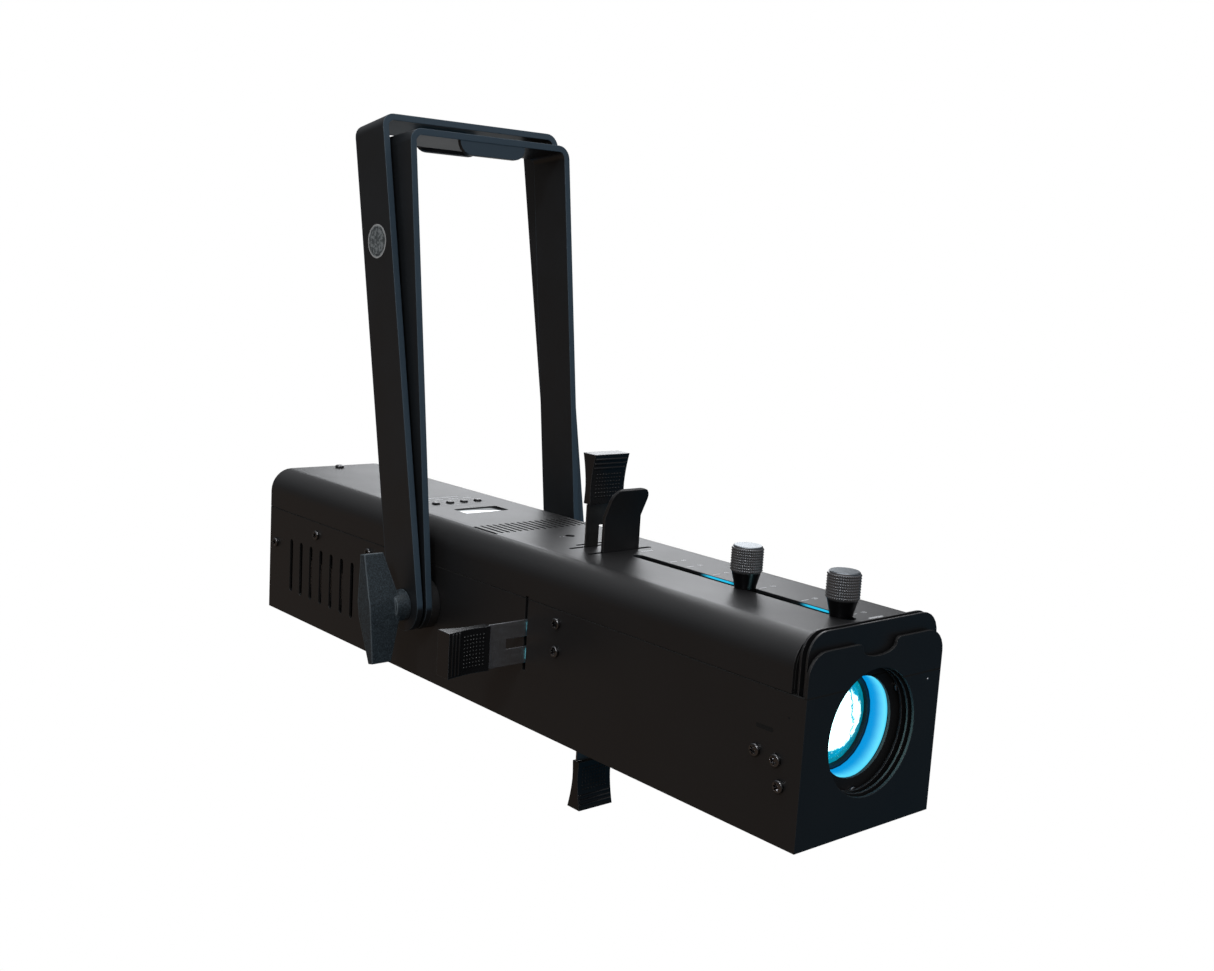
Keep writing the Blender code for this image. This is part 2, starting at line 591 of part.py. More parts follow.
# ---------------------------------------------------------------- gate: plates, gobo rails
PLATE_BASE = FLOOR + GAP
PLATE_TOP = CEILING - GAP
PLATE_SHOULDER = PLATE_TOP - 0.0157
cross_plate = [(-PLATE_HALF, PLATE_BASE), (PLATE_HALF, PLATE_BASE), (PLATE_HALF, PLATE_SHOULDER),
               (PLATE_HALF - COVER_RADIUS, PLATE_TOP), (COVER_RADIUS - PLATE_HALF, PLATE_TOP),
               (-PLATE_HALF, PLATE_SHOULDER)]
lens_bay_plate = solid("lens_bay_plate", prism(cross_plate, LENS_BAY_X - SHEET, LENS_BAY_X, "X"), POWDER_COAT)
cut(lens_bay_plate, on_beam(GATE_RADIUS + 0.003, LENS_BAY_X - 2 * SHEET, LENS_BAY_X + SHEET, 32))

gate_front_plate = solid("gate_front_plate", prism(cross_plate, GATE_X - SHEET, GATE_X, "X"),
                         POWDER_COAT)
groove = GOBO_SHEET / 2 + RUN
rail_back, rail_front = GATE_X - SHEET / 2, LENS_BAY_X - SHEET - GAP
rail_inner, rail_outer = GOBO_HALF - 0.0015, GOBO_HALF + 0.004
sill_low, sill_high = 0.010, 0.016
join(gate_front_plate, box((rail_back, -rail_outer, sill_low), (rail_front, rail_outer, sill_high)))
for side in (-1, 1):
    faces = sorted((side * rail_inner, side * rail_outer))
    join(gate_front_plate, box((rail_back, faces[0], sill_high - 0.002),
                               (rail_front, faces[1], CEILING - 0.0095)))
cut(gate_front_plate, box((GOBO_X - groove, -GOBO_HALF - RUN, sill_high - 0.0015),
                          (GOBO_X + groove, GOBO_HALF + RUN, BODY_HEIGHT)))
cut(gate_front_plate, on_beam(GATE_RADIUS, GATE_X - 2 * SHEET, GATE_X + SHEET, 32))

gate_rear_plate = solid("gate_rear_plate", prism(cross_plate, GATE_REAR_X - SHEET, GATE_REAR_X, "X"),
                        POWDER_COAT)
cut(gate_rear_plate, on_beam(GATE_RADIUS, GATE_REAR_X - 2 * SHEET, GATE_REAR_X + SHEET, 32))

# ---------------------------------------------------------------- framing shutters
SHUTTER_TURNS = {"top": 0, "left": -math.pi / 2, "bottom": math.pi, "right": math.pi / 2}


def grip_outline():
    """Side view of a grip, thick at its outer end: places along the blade against half thickness."""
    points = []
    for step in range(9):
        share = step / 8
        swell = max(0.0, share - 0.30) / 0.70
        inner = max(0.0, 0.30 - share) / 0.30
        half = GRIP_WAIST_HALF + (GRIP_END_HALF - GRIP_WAIST_HALF) * swell ** 1.7 + 0.0006 * inner
        points.append((half, BLADE_END + GAP + GRIP_LENGTH * share))
    return points + [(-half, along) for half, along in reversed(points)]


def shutter(side):
    """A steel blade with its grip, drawn as the top one and turned about the beam axis."""
    plane = SHUTTER_PLANES[side]
    owner = home(side + "_shutter", (plane, 0, AXIS_HEIGHT), HOUSING)
    turn = Matrix.Translation((plane, 0, AXIS_HEIGHT)) @ Matrix.Rotation(SHUTTER_TURNS[side], 4, "X")
    tongue_end = BLADE_END + TONGUE_LENGTH
    half = [(BLADE_WIDE_HALF, BLADE_EDGE), (BLADE_WIDE_HALF, BLADE_SHOULDER - 0.008),
            (BLADE_HALF, BLADE_SHOULDER), (BLADE_HALF, BLADE_END), (TONGUE_HALF, BLADE_END),
            (TONGUE_HALF, tongue_end)]
    outline = half + [(-y, z) for y, z in reversed(half)]
    flat = prism(outline, -BLADE / 2, BLADE / 2, "X")
    blade = solid(side + "_shutter_blade", moved(flat, turn), STEEL, owner)
    window = rectangle((-0.003, BLADE_SHOULDER - 0.004), (0.003, BLADE_END - 0.0125))
    cut(blade, moved(prism(window, -BLADE, BLADE, "X"), turn))
    grip_half = BLADE_HALF + 0.0002
    moulding = prism(grip_outline(), -grip_half, grip_half, "Y")
    grip = solid(side + "_shutter_grip", moved(moulding, turn), GRIP_PLASTIC, owner)
    pocket = box((-BLADE / 2 - GAP, -TONGUE_HALF - GAP, BLADE_END - GAP),
                 (BLADE / 2 + GAP, TONGUE_HALF + GAP, tongue_end + GAP))
    cut(grip, moved(pocket, turn))


for side in SHUTTER_PLANES:
    shutter(side)

# ---------------------------------------------------------------- gobo holder and disc
GOBO = home("gobo_holder", (GOBO_X, 0, AXIS_HEIGHT), HOUSING)
gobo_base = 0.0160
gobo_bend = BODY_HEIGHT + GOBO_BEND_RISE
half_sheet = GOBO_SHEET / 2
tip = (GOBO_TIP_LENGTH * math.sin(GOBO_TIP_ANGLE), GOBO_TIP_LENGTH * math.cos(GOBO_TIP_ANGLE))
lean_out = (half_sheet * math.cos(GOBO_TIP_ANGLE), half_sheet * math.sin(GOBO_TIP_ANGLE))
mitre = half_sheet * math.tan(GOBO_TIP_ANGLE / 2)
bent_side = [(GOBO_X - half_sheet, gobo_base), (GOBO_X + half_sheet, gobo_base),
             (GOBO_X + half_sheet, gobo_bend - mitre),
             (GOBO_X + tip[0] + lean_out[0], gobo_bend + tip[1] - lean_out[1]),
             (GOBO_X + tip[0] - lean_out[0], gobo_bend + tip[1] + lean_out[1]),
             (GOBO_X - half_sheet, gobo_bend + mitre)]
gobo_holder = solid("gobo_holder", prism(bent_side, -GOBO_HALF, GOBO_HALF, "Y"), POWDER_COAT, GOBO)
tip_top = gobo_bend + tip[1] + lean_out[1]
corner = 0.007
neck = BODY_HEIGHT - 0.003
front_half = ([(GOBO_HALF, gobo_base - 0.001), (GOBO_HALF, neck - 0.006), (GOBO_HANDLE_HALF, neck)]
              + arc((GOBO_HANDLE_HALF - corner, tip_top - corner), corner, 0, 90, 5))
front_view = front_half + [(-y, z) for y, z in reversed(front_half)]
keep(gobo_holder, prism(front_view, GOBO_X - 0.01, GOBO_X + 0.02, "X"))
cut(gobo_holder, on_beam(GOBO_DISC_RADIUS + GAP, GOBO_X, GOBO_X + 0.01, 32))
cut(gobo_holder, on_beam(GOBO_DISC_RADIUS - 0.002, GOBO_X - 0.01, GOBO_X + 0.01, 32))
disc_back = GOBO_X + GAP
gobo_disc = solid("gobo_disc", on_beam(GOBO_DISC_RADIUS, disc_back, disc_back + 0.0005, 32), STEEL, GOBO)
petals = []
for number in range(6):
    turn = math.tau * number / 6
    petals.append(rod((0.0095 * math.cos(turn), AXIS_HEIGHT + 0.0095 * math.sin(turn)), 0.0032, GOBO_X - 0.01,
                      GOBO_X + 0.01, "X", 10))
cut(gobo_disc, *petals)

# ---------------------------------------------------------------- light engine
barrel_front = GATE_REAR_X - SHEET - GAP
barrel_back = LED_X + 0.0030
barrel_radius = BORE_RADIUS + 0.0045
lens_seat = barrel_front - 0.016
flange_radius = barrel_radius + 0.006
barrel_profile = [(0.014, barrel_back), (0.018, barrel_back), (barrel_radius, lens_seat - 0.012),
                  (barrel_radius, barrel_front - 0.004), (flange_radius, barrel_front - 0.004),
                  (flange_radius, barrel_front), (BORE_RADIUS, barrel_front), (BORE_RADIUS, lens_seat),
                  (LENS_RADIUS - 0.002, lens_seat)]
condenser_barrel = solid("condenser_barrel", turned(barrel_profile, (0, AXIS_HEIGHT), "X", 24), ALUMINIUM,
                         smooth=True)
lens("condenser_lens", lens_seat + GAP, HOUSING)

led_half = 0.028
led_board = solid("led_board", box((LED_X - 0.0016, -led_half, AXIS_HEIGHT - led_half),
                                   (LED_X, led_half, AXIS_HEIGHT + led_half)), CIRCUIT_BOARD)
join(led_board, on_beam(0.0105, LED_X - 0.001, LED_X + 0.0018, 24))

sink_front = LED_X - 0.0016 - GAP
sink_base = 0.006
sink_low, sink_high = PLATE_BASE, CEILING - 0.0135
heatsink = solid("heatsink", box((sink_front - sink_base, -HEATSINK_HALF, sink_low),
                                 (sink_front, HEATSINK_HALF, sink_high)), ALUMINIUM)
fin = 0.002
fin_pitch = (2 * HEATSINK_HALF - fin) / (FIN_COUNT - 1)
fins = []
for number in range(FIN_COUNT):
    y = -HEATSINK_HALF + fin_pitch * number
    fins.append(box((sink_front - HEATSINK_DEPTH, y, sink_low + 0.001),
                    (sink_front - sink_base / 2, y + fin, sink_high - 0.001)))
join(heatsink, *fins)

# ---------------------------------------------------------------- cooling fan
FAN_MIDDLE = FLOOR + GAP + FAN_SIZE / 2
fan_half = FAN_SIZE / 2
fan_bore = fan_half - 0.002
rotor_hub = 0.0185
fan_outline = rounded((-fan_half, FAN_MIDDLE - fan_half), (fan_half, FAN_MIDDLE + fan_half), 0.004, 3)
fan_frame = solid("fan_frame", prism(fan_outline, FAN_X, FAN_X + FAN_DEPTH, "X"), GRIP_PLASTIC)
cut(fan_frame, rod((0, FAN_MIDDLE), fan_bore, FAN_X - 0.01, FAN_X + 2 * FAN_DEPTH, "X", 28))
strut = 0.002
strut_depth = 0.004
strut_reach = fan_bore + 0.0015
for across, tall in ((strut_reach, strut), (strut, strut_reach)):
    join(fan_frame, box((FAN_X, -across, FAN_MIDDLE - tall),
                        (FAN_X + strut_depth, across, FAN_MIDDLE + tall)))
join(fan_frame, rod((0, FAN_MIDDLE), rotor_hub, FAN_X, FAN_X + strut_depth, "X", 24))
axle = 0.0015
cut(fan_frame, rod((0, FAN_MIDDLE), axle + GAP, FAN_X - 0.01, FAN_X + 0.01, "X", 12))

ROTOR = home("fan_rotor", (FAN_X + FAN_DEPTH / 2, 0, FAN_MIDDLE), HOUSING)
rotor_back = FAN_X + strut_depth + RUN
rotor_front = FAN_X + FAN_DEPTH - 0.001
rotor_profile = [(0, FAN_X + 0.0005), (axle, FAN_X + 0.0005), (axle, rotor_back), (rotor_hub, rotor_back),
                 (rotor_hub, rotor_front - 0.002), (rotor_hub - 0.002, rotor_front), (0, rotor_front)]
fan_rotor = solid("fan_rotor", turned(rotor_profile, (0, FAN_MIDDLE), "X", 24), GRIP_PLASTIC, ROTOR,
                  smooth=True)
blade_tip = fan_bore - 0.0012
rotor_blades = []
for number in range(FAN_BLADES):
    blade = box((-0.0085, -0.0006, rotor_hub - 0.001), (0.0085, 0.0006, blade_tip))
    pitch = Matrix.Rotation(math.radians(48), 4, "Z")
    place = Matrix.Translation(((rotor_back + rotor_front) / 2, 0, FAN_MIDDLE))
    rotor_blades.append(moved(blade, place @ Matrix.Rotation(math.tau * number / FAN_BLADES, 4, "X") @ pitch))
join(fan_rotor, *rotor_blades)

# ---------------------------------------------------------------- power supply and rear panel
supply_low = (SUPPLY_X, -SUPPLY_SIZE[1] / 2, FLOOR + GAP)
supply_high = (SUPPLY_X + SUPPLY_SIZE[0], SUPPLY_SIZE[1] / 2, FLOOR + GAP + SUPPLY_SIZE[2])
power_supply = solid("power_supply", box(supply_low, supply_high), ALUMINIUM)
terminal_y = SUPPLY_SIZE[1] / 2 - 0.006
join(power_supply, box((SUPPLY_X - 0.010, -terminal_y, supply_low[2] + 0.004),
                       (SUPPLY_X + 0.002, terminal_y, supply_low[2] + 0.018)))
slits = []
for number in range(6):
    y = (number - 2.5) * 0.011
    slits.append(box((SUPPLY_X + 0.012, y - 0.0015, supply_high[2] - 0.0015),
                     (SUPPLY_X + 0.054, y + 0.0015, supply_high[2] + 0.001)))
cut(power_supply, *slits)

panel_front = -BODY_LENGTH + SHEET
INLET_AT = (-0.022, 0.030)
FUSE_AT = (-0.022, 0.070)
DMX_AT = {"dmx_input": (0.022, 0.031), "dmx_output": (0.022, 0.069)}
inlet_half = (0.0135, 0.0100)
SOCKET_RADIUS = 0.0115
PIN_CIRCLE = 0.0047         # radius of the circle that a socket's contacts stand on
fuse_radius = 0.006
rear_panel = solid("rear_panel", prism(end_plate_outline(GAP), -BODY_LENGTH, panel_front, "X"), POWDER_COAT)
for side in (-1, 1):
    join(rear_panel, side_tab(side, panel_front - SHEET / 2, panel_front + 0.013, 0.040, 0.0585))
join(rear_panel, box((panel_front - SHEET / 2, -0.010, CEILING - GAP - SHEET),
                     (panel_front + 0.013, 0.010, CEILING - GAP)))
hole_back, hole_front = -BODY_LENGTH - SHEET, panel_front + SHEET
panel_holes = [rod(at, SOCKET_RADIUS + GAP, hole_back, hole_front, "X", 24) for at in DMX_AT.values()]
panel_holes.append(rod(FUSE_AT, fuse_radius + GAP, hole_back, hole_front, "X", 16))
inlet_y, inlet_z = INLET_AT
inlet_hole = rectangle((inlet_y - inlet_half[0] - GAP, inlet_z - inlet_half[1] - GAP),
                       (inlet_y + inlet_half[0] + GAP, inlet_z + inlet_half[1] + GAP))
panel_holes.append(prism(inlet_hole, hole_back, hole_front, "X"))
cut(rear_panel, *panel_holes, rod((TOP_SCREW_X, 0), screw_hole, CEILING - 0.004, BODY_HEIGHT, "Z", 12))

flange_back = -BODY_LENGTH - GAP
flange_front = flange_back - 0.002
inlet_flange = rounded((inlet_y - 0.020, inlet_z - 0.0125), (inlet_y + 0.020, inlet_z + 0.0125), 0.003, 3)
power_inlet = solid("power_inlet", prism(inlet_flange, flange_front, flange_back, "X"), SOCKET_PLASTIC)
join(power_inlet, prism(rectangle((inlet_y - inlet_half[0], inlet_z - inlet_half[1]),
                                  (inlet_y + inlet_half[0], inlet_z + inlet_half[1])),
                        flange_back - 0.001, panel_front + 0.016, "X"))
mouth_half = [(0.0118, -0.0083), (0.0118, 0.0045), (0.0080, 0.0083)]
mouth = [(inlet_y + y, inlet_z + z) for y, z in mouth_half + [(-y, z) for y, z in reversed(mouth_half)]]
cut(power_inlet, prism(mouth, flange_front - 0.002, panel_front + 0.011, "X"))
blades = [box((flange_front + PIN_DEPTH, inlet_y + y - 0.001, inlet_z + z - 0.002),
              (panel_front + 0.012, inlet_y + y + 0.001, inlet_z + z + 0.002))
          for y, z in ((-0.007, -0.002), (0.0, 0.002), (0.007, -0.002))]
join(power_inlet, *blades)

fuse_profile = [(0, flange_front - 0.003), (0.0065, flange_front - 0.003), (0.0072, flange_front - 0.0015),
                (0.0072, flange_back), (fuse_radius, flange_back), (fuse_radius, panel_front + 0.020),
                (0, panel_front + 0.020)]
fuse_holder = solid("fuse_holder", turned(fuse_profile, FUSE_AT, "X", 20), SOCKET_PLASTIC, smooth=True)
cut(fuse_holder, box((flange_front - 0.005, FUSE_AT[0] - 0.005, FUSE_AT[1] - 0.0007),
                     (flange_front - 0.0015, FUSE_AT[0] + 0.005, FUSE_AT[1] + 0.0007)))

for name, at in DMX_AT.items():
    flange = rounded((at[0] - 0.013, at[1] - 0.0155), (at[0] + 0.013, at[1] + 0.0155), 0.002, 2)
    socket = solid(name, prism(flange, flange_front, flange_back, "X"), SOCKET_PLASTIC)
    join(socket, rod(at, SOCKET_RADIUS, flange_back - 0.001, panel_front + 0.018, "X", 24))
    contacts = [(at[0] + PIN_CIRCLE * math.cos(turn), at[1] + PIN_CIRCLE * math.sin(turn))
                for turn in (math.tau / 12, 5 * math.tau / 12, 9 * math.tau / 12)]
    if name == "dmx_input":
        cut(socket, rod(at, SOCKET_RADIUS - 0.0022, flange_front - 0.002, panel_front + 0.012, "X", 24))
        pins = [rod(pin, 0.0012, flange_front + PIN_DEPTH, panel_front + 0.013, "X", 8) for pin in contacts]
        join(socket, *pins)
    else:
        holes = [rod(pin, 0.0016, flange_front - 0.002, panel_front + 0.010, "X", 8) for pin in contacts]
        cut(socket, *holes)

# ---------------------------------------------------------------- menu: board, display, buttons
board_low = BOARD_TOP - 0.0016
board_x = (BUTTON_X - 0.009, DISPLAY_X + 0.014)
board_half = 0.027
switch_top = BOARD_TOP + 0.0034
control_board = solid("control_board", box((board_x[0], -board_half, board_low),
                                           (board_x[1], board_half, BOARD_TOP)), CIRCUIT_BOARD)
switches = [box((BUTTON_X - 0.003, y - 0.003, BOARD_TOP - 0.0005), (BUTTON_X + 0.003, y + 0.003, switch_top))
            for y in button_places]
posts = [rod((x, y), 0.0025, BOARD_TOP - 0.0005, CEILING - GAP, "Z", 12)
         for x in (board_x[0] + 0.004, board_x[1] - 0.004)
         for y in (0.0035 - board_half, board_half - 0.0035)]
join(control_board, *switches, *posts)

WINDOW_REBATE = 0.0005      # the frame of the display overlaps its window by this
WINDOW_DEPTH = 0.0035
pane_half = (window_half[0] - WINDOW_REBATE, window_half[1] - WINDOW_REBATE)
module_half = (window_half[0] + 0.002, window_half[1] + 0.0015)
display_module = solid("display_module", box((DISPLAY_X - module_half[0], -module_half[1], BOARD_TOP + GAP),
                                             (DISPLAY_X + module_half[0], module_half[1], CEILING - GAP)),
                       SOCKET_PLASTIC)
cut(display_module, box((DISPLAY_X - pane_half[0], -pane_half[1], CEILING - WINDOW_DEPTH),
                        (DISPLAY_X + pane_half[0], pane_half[1], CEILING + 0.001)))
pane = (pane_half[0] - GAP, pane_half[1] - GAP)
display_window = solid("display_window", box((DISPLAY_X - pane[0], -pane[1], CEILING - WINDOW_DEPTH + GAP),
                                             (DISPLAY_X + pane[0], pane[1], CEILING - 0.0012)), DISPLAY)

for number, y in enumerate(button_places):
    owner = home(f"menu_button_{number + 1}", (BUTTON_X, y, BODY_HEIGHT), HOUSING)
    base = switch_top + BUTTON_TRAVEL + GAP
    shoulder = CEILING - GAP
    top = BODY_HEIGHT + 0.0014
    flare = BUTTON_RADIUS + 0.0012
    profile = [(0, base), (flare, base), (flare, shoulder), (BUTTON_RADIUS, shoulder),
               (BUTTON_RADIUS, top - 0.0006), (BUTTON_RADIUS - 0.0008, top - 0.0001), (0, top)]
    button = turned(profile, (BUTTON_X, y), "Z", 16)
    solid(f"menu_button_{number + 1}", button, GRIP_PLASTIC, owner, smooth=True)

# ---------------------------------------------------------------- tilt hardware
SPACER_RADIUS = 0.016
inner_face = INNER_HALF - YOKE_BAR
outer_inner_face = OUTER_HALF - YOKE_BAR
hole = STUD_RADIUS + GAP


def ring(name, low, high, outer, side, material):
    """A flat ring around a tilt stud, between two distances from the middle plane."""
    profile = [(hole, side * low), (outer, side * low), (outer, side * high), (hole, side * high)]
    return solid(name, turned(profile, (PIVOT_X, AXIS_HEIGHT), "Y", 24), material, smooth=True)


def pivot_insert(label, side):
    """The threaded insert that is pressed into a side wall, with its flange inside."""
    flange = INNER_WALL - GAP
    profile = [(hole, side * (flange - 0.0045)), (0.0085, side * (flange - 0.0045)), (0.0085, side * flange),
               (INSERT_RADIUS, side * flange), (INSERT_RADIUS, side * BODY_WIDTH / 2),
               (hole, side * BODY_WIDTH / 2)]
    solid(label + "_pivot_insert", turned(profile, (PIVOT_X, AXIS_HEIGHT), "Y", 16), STEEL, smooth=True)


def tilt_knob(label, side):
    """A cast wing knob on the stud that clamps both yoke legs to the housing."""
    owner = home(label + "_tilt_knob", PIVOT, HOUSING)
    hub_base = OUTER_HALF + GAP
    bar_in = hub_base + 0.0060
    bar_out = hub_base + 0.0268
    stud_end = INNER_WALL - 0.004
    end_half, waist_half = 0.0022, 0.0068
    face_on = [(PIVOT_X + waist_half, AXIS_HEIGHT - 0.004), (PIVOT_X + waist_half, AXIS_HEIGHT + 0.004),
               (PIVOT_X + end_half, AXIS_HEIGHT + KNOB_REACH), (PIVOT_X - end_half, AXIS_HEIGHT + KNOB_REACH),
               (PIVOT_X - waist_half, AXIS_HEIGHT + 0.004), (PIVOT_X - waist_half, AXIS_HEIGHT - 0.004),
               (PIVOT_X - end_half, AXIS_HEIGHT - KNOB_REACH), (PIVOT_X + end_half, AXIS_HEIGHT - KNOB_REACH)]
    wing = prism(face_on, min(side * bar_in, side * bar_out), max(side * bar_in, side * bar_out), "Y")
    above_hub = [(bar_out, 0.006), (bar_out - 0.0016, KNOB_REACH), (bar_in + 0.0062, KNOB_REACH),
                 (bar_in, 0.005)]
    along = [(y, -z) for y, z in reversed(above_hub)] + above_hub
    side_view = [(side * y, AXIS_HEIGHT + z) for y, z in along]
    swing = Matrix.Translation(PIVOT) @ Matrix.Rotation(-OUTER_LEAN, 4, "Y") @ Matrix.Translation(-PIVOT)
    knob = solid(label + "_tilt_knob", moved(wing, swing), KNOB_PLASTIC, owner)
    keep(knob, moved(prism(side_view, PIVOT_X - 0.02, PIVOT_X + 0.02, "X"), swing))
    hub_profile = [(0, side * stud_end), (STUD_RADIUS, side * stud_end), (STUD_RADIUS, side * hub_base),
                   (KNOB_HUB_RADIUS, side * hub_base), (KNOB_HUB_RADIUS - 0.001, side * (bar_in + 0.003)),
                   (0, side * (bar_in + 0.003))]
    join(knob, turned(hub_profile, (PIVOT_X, AXIS_HEIGHT), "Y", 24))


for label, side in (("left", 1), ("right", -1)):
    pivot_insert(label, side)
    ring(label + "_spacer", BODY_WIDTH / 2 + GAP, inner_face - GAP, SPACER_RADIUS, side, FIBRE)
    ring(label + "_friction_washer", INNER_HALF + GAP, outer_inner_face - GAP, 0.013, side, FIBRE)
    tilt_knob(label, side)

# ---------------------------------------------------------------- yokes
def yoke(name, owner, half, rise, lip_side):
    """A flat bar bent into a U, with round leg ends, a clamp hole and one turned-down lip.

    It stands upright about the tilt axis, which is its home's own Y axis.
    """
    bend_in = YOKE_BEND - YOKE_BAR
    bend_at = (half - YOKE_BEND, rise - YOKE_BEND)
    outer_line = [(half, -YOKE_WIDTH)] + arc(bend_at, YOKE_BEND, 0, 90, 6)
    inner_line = [(half - YOKE_BAR, -YOKE_WIDTH)] + arc(bend_at, bend_in, 0, 90, 6)
    outline = (outer_line + [(-y, z) for y, z in reversed(outer_line)]
               + [(-y, z) for y, z in inner_line] + list(reversed(inner_line)))
    bar = solid(name, prism(outline, -YOKE_WIDTH / 2, YOKE_WIDTH / 2, "X"), YOKE_COAT, owner)
    corner = 0.008
    bottom = rise - YOKE_LIP_DROP
    lip_half = [(YOKE_LIP_HALF, rise - YOKE_BAR / 2)]
    lip_half += arc((YOKE_LIP_HALF - corner, bottom + corner), corner, 0, -90, 5)
    lip = lip_half + [(-y, z) for y, z in reversed(lip_half)]
    edge, inside = lip_side * (YOKE_WIDTH / 2 - 0.0002), lip_side * (YOKE_WIDTH / 2 - 0.0032)
    join(bar, prism(lip, min(edge, inside), max(edge, inside), "X"))
    foot = [(-YOKE_WIDTH, -2 * YOKE_WIDTH), (YOKE_WIDTH, -2 * YOKE_WIDTH), (YOKE_WIDTH, 0)]
    foot += arc((0, 0), YOKE_WIDTH / 2, 0, -180, 12) + [(-YOKE_WIDTH, 0)]
    reach = half + YOKE_BAR
    cut(bar, prism(foot, -reach, reach, "Y"))
    cut(bar, rod((0, 0), hole, -reach, reach, "Y", 20),
        rod((0, 0), CLAMP_HOLE_RADIUS, rise - 2 * YOKE_BAR, rise + YOKE_BAR, "Z", 24))
    return bar


yoke("outer_yoke", OUTER, OUTER_HALF, OUTER_RISE, -1)
yoke("inner_yoke", INNER, INNER_HALF, INNER_RISE, 1)

# ---------------------------------------------------------------- casing screws
def screw(name, place, direction):
    """A pan-head screw; direction turns its axis from +Z to the way that the head faces."""
    head = 0.0020
    radius = SCREW_HEAD_RADIUS
    profile = [(0, -0.0048), (SCREW_SHANK_RADIUS, -0.0048), (SCREW_SHANK_RADIUS, GAP), (radius, GAP),
               (radius, GAP + 0.0006), (radius * 0.75, GAP + head * 0.85), (0, GAP + head)]
    shape = moved(turned(profile, (0, 0), "Z", 16), Matrix.Translation(place) @ direction)
    part = solid(name, shape, BLACK_SCREW, smooth=True)
    drive = moved(prism(circle((0, 0), 0.0013, 6), GAP + 0.0009, GAP + head + 0.001, "Z"),
                  Matrix.Translation(place) @ direction)
    cut(part, drive)


for label, side in (("left", 1), ("right", -1)):
    screw(label + "_front_screw", (SIDE_SCREW[0], side * BODY_WIDTH / 2, SIDE_SCREW[1]),
          Matrix.Rotation(-side * math.pi / 2, 4, "X"))
screw("top_rear_screw", (TOP_SCREW_X, 0, BODY_HEIGHT), Matrix.Identity(4))
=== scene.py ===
import math

import bmesh
import bpy
from mathutils import Matrix, Vector


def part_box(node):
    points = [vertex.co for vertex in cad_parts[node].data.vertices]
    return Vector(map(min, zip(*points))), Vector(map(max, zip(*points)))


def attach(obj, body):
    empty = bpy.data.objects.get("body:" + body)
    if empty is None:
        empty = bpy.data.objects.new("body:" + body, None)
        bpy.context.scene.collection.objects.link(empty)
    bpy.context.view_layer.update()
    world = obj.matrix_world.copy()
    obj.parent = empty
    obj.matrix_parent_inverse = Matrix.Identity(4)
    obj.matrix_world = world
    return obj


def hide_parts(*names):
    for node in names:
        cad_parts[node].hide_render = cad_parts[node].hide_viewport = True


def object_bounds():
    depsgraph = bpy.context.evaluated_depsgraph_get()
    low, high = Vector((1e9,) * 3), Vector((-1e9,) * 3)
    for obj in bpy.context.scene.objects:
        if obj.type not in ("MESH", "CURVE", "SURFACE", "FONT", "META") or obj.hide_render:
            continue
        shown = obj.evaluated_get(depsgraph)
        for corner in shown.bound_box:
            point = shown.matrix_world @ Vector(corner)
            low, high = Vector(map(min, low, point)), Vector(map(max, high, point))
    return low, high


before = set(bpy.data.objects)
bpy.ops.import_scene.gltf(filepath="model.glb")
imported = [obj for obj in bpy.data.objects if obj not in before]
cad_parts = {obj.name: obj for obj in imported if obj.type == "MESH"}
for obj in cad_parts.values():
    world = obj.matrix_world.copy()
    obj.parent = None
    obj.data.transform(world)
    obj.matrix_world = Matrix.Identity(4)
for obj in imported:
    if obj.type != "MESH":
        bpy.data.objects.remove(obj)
cad_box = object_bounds()

# ---- Studio
# A pale seamless floor well under the hanging light, so that it can tilt right round, a dim
# surround that the camera sees only in reflections, and soft lamps.  The strongest stand above
# and behind, because black paint shows only what it reflects.
bpy.context.scene.view_settings.view_transform = "Standard"
bpy.ops.object.select_all(action="DESELECT")

FLOOR_CLEARANCE, FLOOR_SIZE = 0.40, 30
bpy.ops.mesh.primitive_plane_add(size=FLOOR_SIZE, location=(0, 0, cad_box[0].z - FLOOR_CLEARANCE))
floor = bpy.context.object
floor.name = "studio_floor"
floor.visible_glossy = False
floor.visible_diffuse = False
floor_paint = bpy.data.materials.new("studio_floor_paint")
floor_paint.use_nodes = True
floor_shader = floor_paint.node_tree.nodes["Principled BSDF"].inputs
floor_shader["Base Color"].default_value = (0.0, 0.0, 0.0, 1)
floor_shader["Roughness"].default_value = 0.9
floor_shader["Specular IOR Level"].default_value = 0.0
floor_shader["Emission Color"].default_value = (1, 1, 1, 1)
floor_shader["Emission Strength"].default_value = 1.0
floor.data.materials.append(floor_paint)


